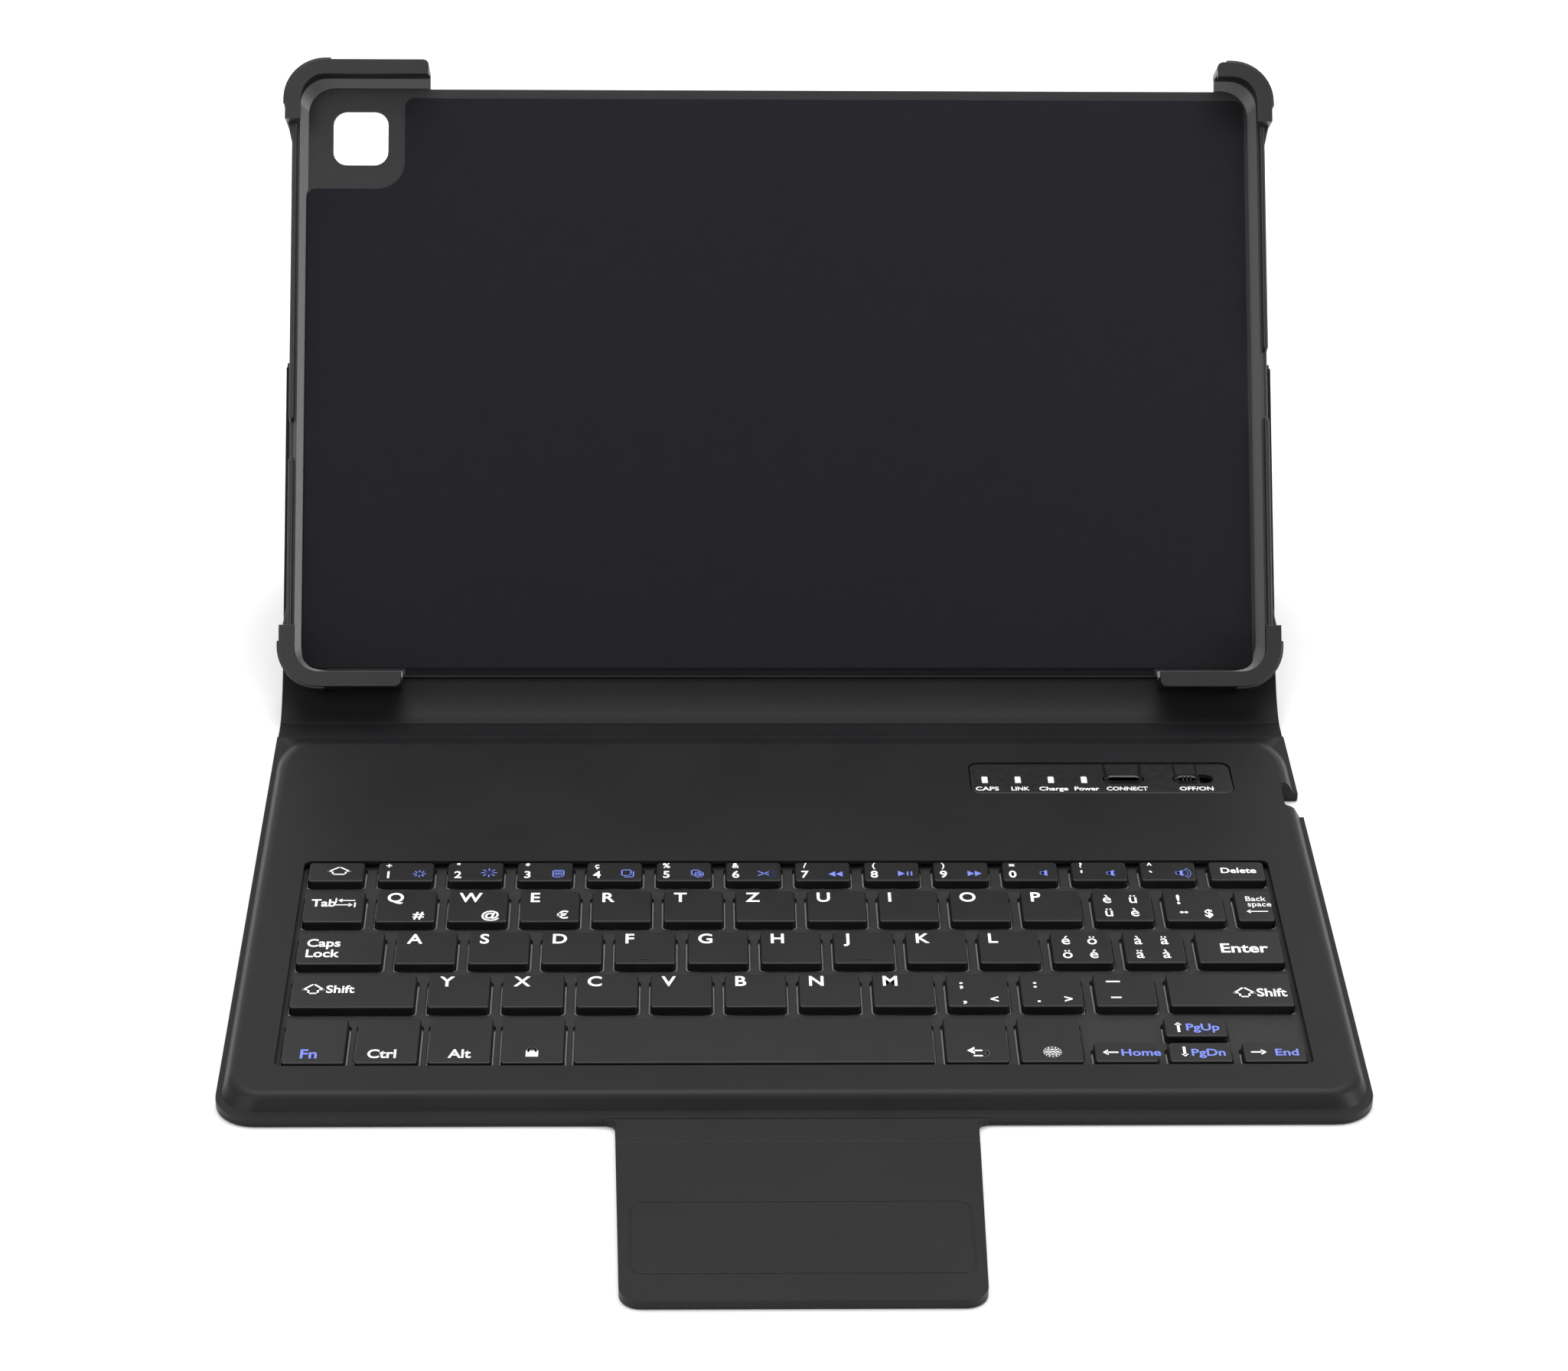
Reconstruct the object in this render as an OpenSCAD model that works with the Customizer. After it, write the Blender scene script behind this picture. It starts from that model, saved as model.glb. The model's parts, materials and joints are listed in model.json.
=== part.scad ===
// Tablet keyboard case: a keyboard half, a soft spine, a corner-clip tray on a
// back panel that folds out into a kickstand, and a magnetic closing flap.
// X runs to the right, Y away from the typist, Z up. The origin is the centre
// of the keyboard's underside. The case is drawn open, propped on its kickstand.

/* [Keyboard half] */
// Width of the keyboard half and of the whole cover
kb_w = 250; // [236:1:300]
// Depth of the keyboard half, from spine to flap
kb_d = 163; // [156:1:200]
// Height of the deck above the desk
deck_h = 5.5; // [5.4:0.1:7]
// Thickness of the flat rim round the keyboard
rim_h = 2.2; // [1.8:0.1:2.6]
// Width of the flat rim at each side
rim_side = 1; // [0.5:0.1:3]
// Width of the flat rim at the front
rim_front = 2.7; // [1:0.1:4]
// Width of the sloped edge between rim and deck
bevel_w = 1.9; // [1:0.1:4]
// Length of the long ramp that falls from the deck to the spine
rear_ramp = 6; // [3:0.5:9]
// Flat strip between the ramp and the spine
rim_rear = 2.4; // [1:0.1:4]
// Radius of the cover's outer corners
outer_r = 9; // [4:0.5:14]
// Radius of the deck's corners
deck_r = 7; // [3:0.5:10]
// Thickness of the covering skin under the keyboard
skin_t = 0.8; // [0.6:0.1:0.9]
// Thickness of the moulded skin over the deck
deck_skin_t = 0.9; // [0.6:0.1:1.2]
// Thickness of the stiff base plate
base_plate_t = 0.6; // [0.4:0.1:0.8]

/* [Keys] */
// Width of the sunk key field
field_w = 225.8; // [215:0.2:230]
// Distance from the spine edge to the key field
field_rear = 64; // [58:0.5:70]
// Clear space between the outer keys and the field's edge
field_margin = 1.2; // [0.8:0.1:2]
// Corner radius of the key field
field_r = 1.6; // [0.5:0.1:3]
// Width of a letter key
key_w = 14; // [11.5:0.1:14.6]
// Side gap between letter keys
key_gap = 2.5; // [2:0.1:3]
// Depth of a letter key
key_d = 13.3; // [11:0.1:16]
// Gap between rows of keys
row_gap = 4.2; // [3:0.1:5]
// Width of a key in the number row
number_key_w = 13.2; // [11:0.1:14]
// Depth of a key in the number row
number_key_d = 8.4; // [7:0.1:10]
// Depth of a key in the bottom row
bottom_key_d = 17.4; // [14.5:0.1:18]
// Side gap between keys at the left of the bottom row
bottom_left_gap = 1.85; // [1.7:0.05:3]
// Side gap between keys at the right of the bottom row
bottom_right_gap = 2.25; // [1.7:0.05:3]
// Gap between the two half-depth arrow keys
half_key_gap = 2.2; // [1.6:0.1:4]
// Shift of the first letter row to the right of centre
tab_row_shift = 2.7; // [0:0.1:4]
// Corner radius of a key
key_r = 1; // [0.4:0.1:2]
// How far a key's top stands above the deck
key_proud = 0.1; // [0:0.05:0.4]
// Thickness of a keycap's top and walls
cap_t = 1; // [0.8:0.1:1.2]
// Height of a keycap
cap_h = 2.1; // [1.8:0.1:2.3]
// Key travel, used for the joints
key_travel = 1.1; // [0.8:0.1:1.2]
// Gap round a key in its frame opening
key_clear = 0.35; // [0.25:0.05:0.6]

/* [Indicator panel] */
// Width of the indicator panel
panel_w = 64; // [62:0.5:70]
// Depth of the indicator panel
panel_d = 13.4; // [12:0.2:16]
// Distance from the spine edge to the indicator panel
panel_rear = 18.5; // [15:0.5:22]
// Distance of the indicator panel's right end from the cover's right edge
panel_right = 16; // [14:0.5:24]
// Corner radius of the indicator panel
panel_r = 2.5; // [1:0.5:5]
// How far the panel lies below the deck
panel_sunk = 0.35; // [0.2:0.05:0.6]
// Distance between status lights
light_pitch = 8.05; // [6:0.05:9]
// Length of a status light's window
light_w = 1.6; // [1:0.1:3]
// Depth of a status light's window
light_d = 3.3; // [1.5:0.1:4]
// Length of the pairing button
button_w = 9.4; // [8:0.1:10]
// Depth of the pairing button
button_d = 3.8; // [3:0.1:5]
// Length of the power slide's knob
slider_w = 6.2; // [5:0.1:7]
// Travel of the power slide
slider_travel = 3; // [2:0.1:4]

/* [Charging port] */
// Distance from the spine edge to the middle of the charging notch
notch_at = 33.5; // [28:0.5:45]
// Length of the charging notch
notch_l = 11; // [10:0.5:16]
// Depth of the charging notch into the side
notch_d = 4.7; // [4.5:0.1:5.2]

/* [Hinges and spine] */
// Thickness of the cover panels and the spine
panel_t = 1.8; // [1.5:0.1:2.2]
// Width of the spine between its two creases
spine_l = 15.4; // [14.8:0.1:20]
// Slope of the spine when the case stands open
spine_rise = 12; // [2:1:20]
// Angle of the tray above the desk when the case stands open
tray_slope = 53.7; // [45:0.1:65]
// Gap left on each side of a crease
crease_gap = 0.3; // [0.2:0.05:0.5]

/* [Tray] */
// Width of the tablet bay
bay_w = 244.9; // [231:0.1:290]
// Height of the tablet bay
bay_h = 154.7; // [150:0.1:190]
// Thickness of the tablet that the tray holds
tablet_t = 7; // [6:0.1:8]
// Corner radius of the tablet bay
bay_r = 7.5; // [4:0.5:12]
// Thickness of the tray floor
floor_t = 1.2; // [1:0.1:1.6]
// Thickness of the low side walls
wall_t = 1.25; // [1:0.05:1.6]
// Height of the low side walls above the tray's back
wall_h = 5.2; // [4.5:0.1:7]
// Thickness of the corner clips
clip_t = 2.65; // [2.3:0.05:3]
// How far a clip's lip stands above the tablet
lip_t = 1.8; // [1.4:0.1:2]
// How far a clip's lip hooks over the tablet
lip_over = 1.2; // [0.8:0.1:2]
// Gap between the spine crease and the tray
tray_gap = 1.3; // [1:0.1:3]
// Reach of the top left clip along the top
clip_top_left = 36.2; // [20:0.1:45]
// Reach of the top right clip along the top
clip_top_right = 13.8; // [12:0.1:45]
// Reach of the bottom clips along the bottom
clip_bottom = 30.4; // [20:0.1:45]
// Reach of the clips down the sides
clip_side = 15.5; // [13:0.1:25]
// Length of the taper where a clip runs out into a side wall
clip_taper = 5.2; // [3:0.1:8]
// How far the open top edge of the floor is set back
floor_back_top = 5.4; // [4:0.1:8]
// How far the open bottom edge of the floor is set back
floor_back_bottom = 3.3; // [2.8:0.1:6]
// Side of the camera opening
camera_w = 13.9; // [10:0.1:20]
// Corner radius of the camera opening
camera_r = 3.5; // [2:0.5:5]
// Distance of the camera opening from the clips' outer side
camera_side = 11.6; // [9:0.1:16]
// Distance of the camera opening from the clips' outer top
camera_top = 11.4; // [9:0.1:16]
// Length of the port opening in the right wall
port_l = 16.8; // [12:0.1:22]
// Depth of the port opening, from the wall's top edge
port_depth = 2.6; // [1.5:0.1:3]
// Middle of the port opening above the tray's bottom
port_at = 77.9; // [70:0.1:90]
// Length of the shallow notch in the left wall
side_notch_l = 9; // [6:0.1:12]
// Depth of the shallow notch in the left wall
side_notch_depth = 1.2; // [0.6:0.1:2]
// Middle of the shallow notch above the tray's bottom
side_notch_at = 63.4; // [55:0.1:70]

/* [Tray lining] */
// Thickness of the soft lining
lining_t = 0.6; // [0.4:0.1:0.9]
// Distance from the bay's side to the lining
lining_side = 3.65; // [3:0.05:6]
// Distance from the tray's outer bottom to the lining
lining_bottom = 5.6; // [4:0.1:8]
// Distance from the tray's outer top to the lining
lining_top = 7.9; // [6:0.1:10]
// Bare margin round the camera opening
camera_margin = 4.3; // [3:0.1:6]

/* [Kickstand] */
// Distance from the spine crease to the kickstand crease
stand_at = 84.5; // [80:0.1:90]
// Gap between the folded kickstand and the tray
stand_gap = 0.2; // [0.15:0.05:0.4]

/* [Flap] */
// Width of the flap at its root
flap_root_w = 78; // [60:1:100]
// Width of the flap at its tip
flap_tip_w = 74.5; // [56:0.5:100]
// Length of the flap
flap_l = 63; // [50:0.5:75]
// Corner radius of the flap's tip
flap_r = 4.5; // [3:0.5:8]
// Gap between the closed flap and the back of the closed case
flap_clear = 0.4; // [0.3:0.05:1]
// Length of the stiffener in the flap's tip
stiffener_l = 21; // [16:0.5:24]
// Number of magnets in the flap
flap_magnets_n = 4; // [2:1:6]

/* [Hidden] */
$fn = 48;

skin_black = [0.07, 0.07, 0.075];
key_black = [0.05, 0.05, 0.055];
shell_black = [0.04, 0.04, 0.045];
lining_black = [0.05, 0.05, 0.07];
steel_grey = [0.6, 0.6, 0.62];
board_green = [0.1, 0.3, 0.15];
rubber_grey = [0.75, 0.75, 0.72];
film_grey = [0.85, 0.85, 0.8];
foil_grey = [0.55, 0.57, 0.6];
panel_black = [0.045, 0.045, 0.05];
lens_white = [0.8, 0.85, 0.9];
control_black = [0.06, 0.06, 0.065];
card_brown = [0.45, 0.42, 0.38];
tiny = 0.01;

front_y = -kb_d / 2;
rear_y = kb_d / 2;

// Levels in the keyboard half, from the desk up
plate_top = skin_t + base_plate_t;
backing_t = 0.4;
membrane_t = 0.2;
dome_base_t = 0.3;
membrane_z = plate_top + backing_t;
dome_z = membrane_z + membrane_t;
dome_base_top = dome_z + dome_base_t;
key_top = deck_h + key_proud;
key_bottom = key_top - cap_h;
frame_top = key_bottom + 0.1;
frame_t = 0.8;
dome_top = key_top - cap_t - key_travel - 0.1;
pcb_t = 0.6;
pcb_top = plate_top + pcb_t;
deck_under = deck_h - deck_skin_t;

// The key module under the field
field_margin_y = 0.7;
field_front = field_rear + 2 * field_margin_y + number_key_d + 3 * key_d + bottom_key_d + 4 * row_gap;
module_side = field_w / 2 + 1.7;
module_rear = field_rear - 1;
module_front = field_front + 1.2;
module_fit = 0.6;

// The stiff plate and frame stay inside the cover's edge
frame_in = 8;
frame_r = 3;
frame_fit = 0.3;

// The electronics bay behind the key field
bay_rear_s = 12.5;
bay_front_s = field_rear - 8;
bay_side = kb_w / 2 - 12;
bay_fit = 1.5;
pcb_left = 30;
pcb_right = bay_side - 0.4;
battery_left = -(bay_side - 1);
battery_right = 24;
battery_t = 2.7;
battery_r = 2;
screw_hole_r = 1;

// The charging socket, and the tab of the board that carries it
socket_l = 5.6;
tab_more = 1;
tab_fit = 0.5;
socket_w = 7.6;
socket_h = 2.5;
notch_x = kb_w / 2 - notch_d;

// The indicator panel
panel_t_own = 0.95;
panel_top = deck_h - panel_sunk;
panel_bottom = panel_top - panel_t_own;
panel_x = kb_w / 2 - panel_right - panel_w / 2;
panel_y = rear_y - panel_rear - panel_d / 2;
panel_fit = 0.15;
control_clear = 0.35;
first_light = 3.7;
button_at = 5.5;
slider_at = 22.4;
lights_ahead = 1.3;
controls_ahead = 0.9;
first_light_x = panel_x - panel_w / 2 + first_light;
lights_y = panel_y - lights_ahead;
button_x = panel_x + button_at;
slider_x = panel_x + slider_at;
slot_w = slider_w + slider_travel + 2 * control_clear;
controls_y = panel_y - controls_ahead;
flange_over = 0.7;
flange_t = 0.4;
flange_top = panel_bottom - 0.3;
button_travel = 0.5;
lens_fit = 0.1;
lens_below = 0.4;
led_w = 1.6;
led_d = 0.8;
press_switch_w = 3.6;
press_switch_d = 3.2;
press_switch_h = 0.7;
slide_switch_w = 8.6;
slide_switch_d = 3.4;
slide_switch_h = 0.9;

// Walls of the charging socket, and the levels of its tongue
socket_wall = 0.4;
socket_back = 0.8;
socket_mouth = 1;
tongue_low = 0.9;
tongue_high = 1.5;
dome_foot_r = 2.6;
dome_head_r = 1.5;

// The folded parts: each panel's inner face lies on its hinge line's level
hinge_z = panel_t;
tray_turn = tray_slope - spine_rise;
cover_l = kb_d - 0.7;
tray_w = bay_w + 2 * clip_t;
tray_h = bay_h + 2 * clip_t;
bay_mid = tray_gap + tray_h / 2;
clip_h = floor_t + tablet_t + lip_t;
camera_x = -tray_w / 2 + camera_side + camera_w / 2;
camera_v = tray_gap + tray_h - camera_top - camera_w / 2;
stand_hinge_y = spine_l * cos(spine_rise) + stand_at * cos(tray_slope) + panel_t * sin(tray_slope);
stand_hinge_z = hinge_z + spine_l * sin(spine_rise) + stand_at * sin(tray_slope)
  - panel_t * cos(tray_slope);
stand_l = cover_l - stand_at;
stand_turn = tray_slope + asin(stand_hinge_z / stand_l);

// The flap folds over the closed case
flap_t = rim_h;
closed_top = hinge_z + spine_l + panel_t;
bridge_l = closed_top + flap_clear - flap_t;
tip_l = flap_l - bridge_l;
stiffener_from = 30;
stiffener_t = 0.8;
magnet_r = 3.5;

// A rectangle with true round corners, centred
module rounded(w, d, r) {
  square([w - 2 * r, d], center = true);
  square([w, d - 2 * r], center = true);
  for (x = [-1, 1], y = [-1, 1])
    translate([x * (w / 2 - r), y * (d / 2 - r)])
      circle(r);
}

// A straight slot with round ends, centred
module slot(w, d) {
  square([w - d, d], center = true);
  for (x = [-1, 1])
    translate([x * (w - d) / 2, 0])
      circle(d / 2);
}

// A flat plate between two levels
module plate(from, to) {
  translate([0, 0, from])
    linear_extrude(to - from)
      children();
}

// The cover's outline under the keyboard: round corners at the flap end only,
// and a straight end a little short of the crease
module cover_outline() {
  difference() {
    union() {
      rounded(kb_w, kb_d, outer_r);
      translate([0, rear_y - outer_r])
        square([kb_w, 2 * outer_r], center = true);
    }
    translate([0, rear_y + kb_d / 2 - crease_gap])
      square([kb_w * 2, kb_d], center = true);
  }
}

// The notch that lets a charging plug in from the right
module charging_notch() {
  translate([notch_x, rear_y - notch_at - notch_l / 2, -1])
    cube([notch_d * 2, notch_l, deck_h + 2]);
}

deck_foot = 0.6;

// The raised deck with its sloped edges, smaller by an inset
module deck_block(inset, top) {
  low_w = kb_w - 2 * (rim_side + inset);
  low_front = front_y + rim_front + inset;
  low_rear = rear_y - rim_rear - inset;
  high_w = low_w - 2 * bevel_w;
  high_front = low_front + bevel_w;
  high_rear = low_rear - rear_ramp;
  hull() {
    translate([0, (low_front + low_rear) / 2, rim_h - deck_foot])
      linear_extrude(deck_foot)
        rounded(low_w, low_rear - low_front, deck_r + bevel_w, $fn = 32);
    translate([0, (high_front + high_rear) / 2, top - tiny])
      linear_extrude(tiny)
        rounded(high_w, high_rear - high_front, deck_r, $fn = 32);
  }
}

module key_field(grow) {
  translate([0, rear_y - (field_rear + field_front) / 2])
    rounded(field_w + 2 * grow, field_front - field_rear + 2 * grow, field_r + grow);
}

module key_module_outline() {
  translate([0, rear_y - (module_rear + module_front) / 2])
    square([2 * module_side, module_front - module_rear], center = true);
}

module base_skin() {
  color(skin_black)
    difference() {
      plate(0, skin_t)
        cover_outline();
      charging_notch();
    }
}

module frame_outline(grow) {
  translate([0, (rim_front - rim_rear) / 2])
    rounded(kb_w - 2 * (frame_in - grow), kb_d - 2 * (frame_in - grow), frame_r + grow);
}

module base_plate() {
  color(shell_black)
    plate(skin_t, plate_top)
      frame_outline(0);
}

module deck_skin() {
  color(skin_black)
    difference() {
      union() {
        plate(skin_t, rim_h)
          cover_outline();
        deck_block(0, deck_h);
      }
      deck_block(deck_skin_t, deck_under);
      plate(skin_t - 1, rim_h)
        frame_outline(frame_fit);
      plate(deck_under - 1, deck_h + 1)
        key_field(0);
      plate(deck_under - 1, deck_h + 1)
        translate([panel_x, panel_y])
          rounded(panel_w, panel_d, panel_r);
      charging_notch();
    }
}

// The tab at the board's right end, from 0 to a length
module socket_tab(grow, l) {
  translate([0, rear_y - notch_at - socket_w / 2 - tab_more - grow])
    square([l, socket_w + 2 * (tab_more + grow)]);
}

// Plain plastic frame that carries the deck, with a window for the keys and one
// for the battery and the board
module top_frame() {
  color(shell_black)
    difference() {
      intersection() {
        deck_block(deck_skin_t + 0.1, deck_under - 0.1);
        plate(plate_top, deck_h)
          frame_outline(0);
      }
      plate(0, deck_h)
        translate([0, rear_y - (module_rear + module_front) / 2])
          square(
            [2 * (module_side + module_fit), module_front - module_rear + 2 * module_fit],
            center = true
          );
      plate(0, deck_h)
        translate([0, rear_y - (bay_rear_s + bay_front_s) / 2])
          square([2 * bay_side, bay_front_s - bay_rear_s], center = true);
      plate(0, deck_h)
        translate([bay_side - 1, 0])
          socket_tab(tab_fit, kb_w);
    }
}

// Position and size of every key, as [x, width, distance of its rear edge from
// the spine edge, depth]
left_x = -field_w / 2 + field_margin;
right_x = field_w / 2 - field_margin;
row_1 = field_rear + field_margin_y;
row_2 = row_1 + number_key_d + row_gap;
row_3 = row_2 + key_d + row_gap;
row_4 = row_3 + key_d + row_gap;
row_5 = row_4 + key_d + row_gap;
pitch = key_w + key_gap;
number_pitch = (right_x - left_x - number_key_w) / 13;
half_key_d = (bottom_key_d - half_key_gap) / 2;
row_2_left = tab_row_shift - 5.5 * pitch;
row_3_left = -5 * pitch;
row_4_left = -4.5 * pitch;
bottom_left_pitch = key_w + bottom_left_gap;
bottom_right_pitch = key_w + bottom_right_gap;

function letter(row, left, n) = [left + n * pitch, key_w, row, key_d];
function between(from, to, row, d) = [(from + to) / 2, to - from, row, d];
function before(key) = key[0] - key[1] / 2 - key_gap;
function after(key) = key[0] + key[1] / 2 + key_gap;

number_row = [
  for (n = [0:13]) [left_x + number_key_w / 2 + n * number_pitch, number_key_w, row_1, number_key_d]
];
tab_row = [
  between(left_x, before(letter(row_2, row_2_left, 0)), row_2, key_d),
  letter(row_2, row_2_left, 10),
  letter(row_2, row_2_left, 11),
  between(after(letter(row_2, row_2_left, 11)), right_x, row_2, key_d)
];
caps_row = [
  between(left_x, before(letter(row_3, row_3_left, 0)), row_3, key_d),
  letter(row_3, row_3_left, 9),
  letter(row_3, row_3_left, 10),
  between(after(letter(row_3, row_3_left, 10)), right_x, row_3, key_d)
];
shift_row = [
  between(left_x, before(letter(row_4, row_4_left, 0)), row_4, key_d),
  letter(row_4, row_4_left, 7),
  letter(row_4, row_4_left, 8),
  letter(row_4, row_4_left, 9),
  between(after(letter(row_4, row_4_left, 9)), right_x, row_4, key_d)
];
bottom_left = [
  for (n = [0:3]) [left_x + key_w / 2 + n * bottom_left_pitch, key_w, row_5, bottom_key_d]
];
bottom_right = [
  for (n = [4:-1:0]) [right_x - key_w / 2 - n * bottom_right_pitch, key_w, row_5, bottom_key_d]
];
space = between(
  bottom_left[3][0] + key_w / 2 + bottom_left_gap,
  bottom_right[0][0] - key_w / 2 - bottom_right_gap,
  row_5,
  bottom_key_d
);
low_half = row_5 + half_key_d + half_key_gap;
arrows = [
  [bottom_right[2][0], key_w, low_half, half_key_d],
  [bottom_right[3][0], key_w, row_5, half_key_d],
  [bottom_right[3][0], key_w, low_half, half_key_d],
  [bottom_right[4][0], key_w, low_half, half_key_d]
];
bottom_row = concat(bottom_left, [bottom_right[0], bottom_right[1]], arrows);
letter_keys = concat(
  [for (n = [0:9]) letter(row_2, row_2_left, n)],
  [for (n = [0:8]) letter(row_3, row_3_left, n)],
  [for (n = [0:6]) letter(row_4, row_4_left, n)]
);
all_keys = concat(letter_keys, number_row, tab_row, caps_row, shift_row, bottom_row, [space]);

module at_key(key) {
  translate([key[0], rear_y - key[2] - key[3] / 2, 0])
    children();
}

// A hollow keycap
module keycap(key) {
  color(key_black)
    at_key(key)
      difference() {
        plate(key_bottom, key_top)
          rounded(key[1], key[3], key_r);
        plate(key_bottom - 1, key_top - cap_t)
          square([key[1] - 2 * cap_t, key[3] - 2 * cap_t], center = true);
      }
}

module key_frame() {
  color(shell_black)
    difference() {
      union() {
        plate(frame_top - frame_t, frame_top)
          key_module_outline();
        plate(dome_base_top, frame_top)
          difference() {
            key_module_outline();
            key_field(0.2);
          }
      }
      for (key = all_keys)
        at_key(key)
          plate(0, deck_h)
            rounded(key[1] + 2 * key_clear, key[3] + 2 * key_clear, key_r + key_clear);
    }
}

// Rubber domes, one under each key, drawn at their pressed height
module dome_sheet() {
  color(rubber_grey)
    union() {
      plate(dome_z, dome_base_top)
        key_module_outline();
      for (key = all_keys)
        at_key(key)
          translate([0, 0, dome_base_top - tiny])
            cylinder(dome_top - dome_base_top, r1 = dome_foot_r, r2 = dome_head_r);
    }
}

module membrane() {
  color(film_grey)
    plate(membrane_z, dome_z)
      key_module_outline();
}

module backing_plate() {
  color(steel_grey)
    plate(plate_top, membrane_z)
      key_module_outline();
}

module circuit_board() {
  color(board_green) {
    plate(plate_top, pcb_top)
      difference() {
        union() {
          translate([pcb_left, rear_y - bay_front_s + bay_fit])
            square([pcb_right - pcb_left, bay_front_s - bay_rear_s - 2 * bay_fit]);
          translate([pcb_right - 1, 0])
            socket_tab(0, kb_w / 2 - frame_in - pcb_right + 1);
        }
        for (x = [pcb_left + 4, pcb_right - 4])
          translate([x, rear_y - bay_front_s + bay_fit + 3])
            circle(screw_hole_r);
      }
  }
  color("white")
    for (n = [0:3])
      translate([first_light_x + n * light_pitch, lights_y, pcb_top + led_d / 2])
        cube([led_w, led_d, led_d], center = true);
}

module battery() {
  color(foil_grey)
    plate(plate_top, plate_top + battery_t)
      translate([(battery_left + battery_right) / 2, rear_y - (bay_rear_s + bay_front_s) / 2])
        rounded(battery_right - battery_left, bay_front_s - bay_rear_s - 2 * bay_fit, battery_r);
}

module socket_hollow(from, low, high) {
  translate([from, -socket_w / 2 + socket_wall, low])
    cube([socket_l, socket_w - 2 * socket_wall, high - low]);
}

module charge_socket() {
  color(steel_grey)
    translate([notch_x - socket_l, rear_y - notch_at, pcb_top])
      difference() {
        translate([0, -socket_w / 2, 0])
          cube([socket_l, socket_w, socket_h]);
        socket_hollow(socket_back, socket_wall, tongue_low);
        socket_hollow(socket_back, tongue_high, socket_h - socket_wall);
        socket_hollow(socket_l - socket_mouth, socket_wall, socket_h - socket_wall);
      }
}

module at_light(n) {
  translate([first_light_x + n * light_pitch, lights_y])
    children();
}

module indicator_panel() {
  color(panel_black)
    plate(panel_bottom, panel_top)
      difference() {
        translate([panel_x, panel_y])
          rounded(panel_w - 2 * panel_fit, panel_d - 2 * panel_fit, panel_r - panel_fit);
        for (n = [0:3])
          at_light(n)
            square([light_w, light_d], center = true);
        translate([button_x, controls_y])
          slot(button_w + 2 * control_clear, button_d + 2 * control_clear);
        translate([slider_x, controls_y])
          slot(slot_w, button_d + 2 * control_clear);
      }
}

module status_lenses() {
  color(lens_white)
    plate(panel_bottom - lens_below, panel_top)
      for (n = [0:3])
        at_light(n)
          square([light_w - lens_fit, light_d - lens_fit], center = true);
}

// The push switch under the pairing button and the slide switch under the knob
module switch_bodies() {
  color(steel_grey) {
    plate(pcb_top, pcb_top + press_switch_h)
      translate([button_x, controls_y])
        square([press_switch_w, press_switch_d], center = true);
    plate(pcb_top, pcb_top + slide_switch_h)
      translate([slider_x, controls_y])
        square([slide_switch_w, slide_switch_d], center = true);
  }
}

// A control that passes through the panel and is held by a flange under it
module control(w) {
  plate(flange_top, deck_h)
    slot(w, button_d);
  plate(flange_top - flange_t, flange_top)
    slot(w + 2 * flange_over, button_d + 2 * flange_over);
}

module connect_button() {
  color(control_black)
    translate([button_x, controls_y])
      control(button_w);
}

module power_slider() {
  color(control_black)
    translate([slider_x - slider_travel / 2, controls_y])
      control(slider_w);
}

// Placing the folded parts
module at_spine() {
  translate([0, rear_y, hinge_z])
    rotate([spine_rise, 0, 0])
      children();
}

module at_back() {
  at_spine()
    translate([0, spine_l, 0])
      rotate([tray_turn, 0, 0])
        children();
}

module at_stand() {
  at_back()
    translate([0, stand_at, -panel_t])
      rotate([-stand_turn, 0, 0])
        translate([0, -stand_at, panel_t])
          children();
}

module spine_skin() {
  color(skin_black)
    at_spine()
      translate([-kb_w / 2, crease_gap, -panel_t])
        cube([kb_w, spine_l - 2 * crease_gap, panel_t]);
}

// A cover panel is two layers of skin over a board: a slab with a pocket in it
pocket_skin = 0.5;
pocket_edge = 4;
board_fit = 0.05;
window_margin = 0.8;

module back_pocket(fit) {
  translate([
    -kb_w / 2 + pocket_edge + fit,
    crease_gap + pocket_edge + fit,
    -panel_t + pocket_skin + fit
  ])
    cube([
      kb_w - 2 * (pocket_edge + fit),
      stand_at - 2 * (crease_gap + pocket_edge + fit),
      panel_t - 2 * (pocket_skin + fit)
    ]);
}

module back_skin() {
  color(skin_black)
    at_back()
      difference() {
        translate([-kb_w / 2, crease_gap, -panel_t])
          cube([kb_w, stand_at - 2 * crease_gap, panel_t]);
        back_pocket(0);
      }
}

module back_board() {
  color(card_brown)
    at_back()
      back_pocket(board_fit);
}

module camera_window(grow) {
  translate([camera_x, camera_v])
    rounded(camera_w + 2 * grow, camera_w + 2 * grow, camera_r + grow);
}

// The kickstand's outline, smaller by an inset, with round corners at its foot
module stand_outline(inset) {
  r = max(outer_r - inset, 1);
  end = cover_l - inset;
  difference() {
    union() {
      translate([0, end - stand_l / 2])
        rounded(kb_w - 2 * inset, stand_l, r);
      translate([-kb_w / 2 + inset, stand_at + crease_gap + inset])
        square([kb_w - 2 * inset, stand_l / 2]);
    }
    translate([0, stand_at + crease_gap + inset - kb_w])
      square(kb_w * 2, center = true);
  }
}

stand_top = -stand_gap;
catch_w = 66;
catch_from = cover_l - 42;
catch_l = 30;

module stand_skin() {
  color(skin_black)
    at_stand()
      difference() {
        plate(-panel_t, stand_top)
          difference() {
            stand_outline(0);
            camera_window(window_margin);
          }
        plate(-panel_t + pocket_skin, stand_top - pocket_skin)
          difference() {
            stand_outline(pocket_edge);
            camera_window(window_margin + pocket_edge / 2);
          }
      }
}

module catch_outline(fit) {
  translate([-catch_w / 2 + fit, catch_from + fit])
    square([catch_w - 2 * fit, catch_l - 2 * fit]);
}

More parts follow.
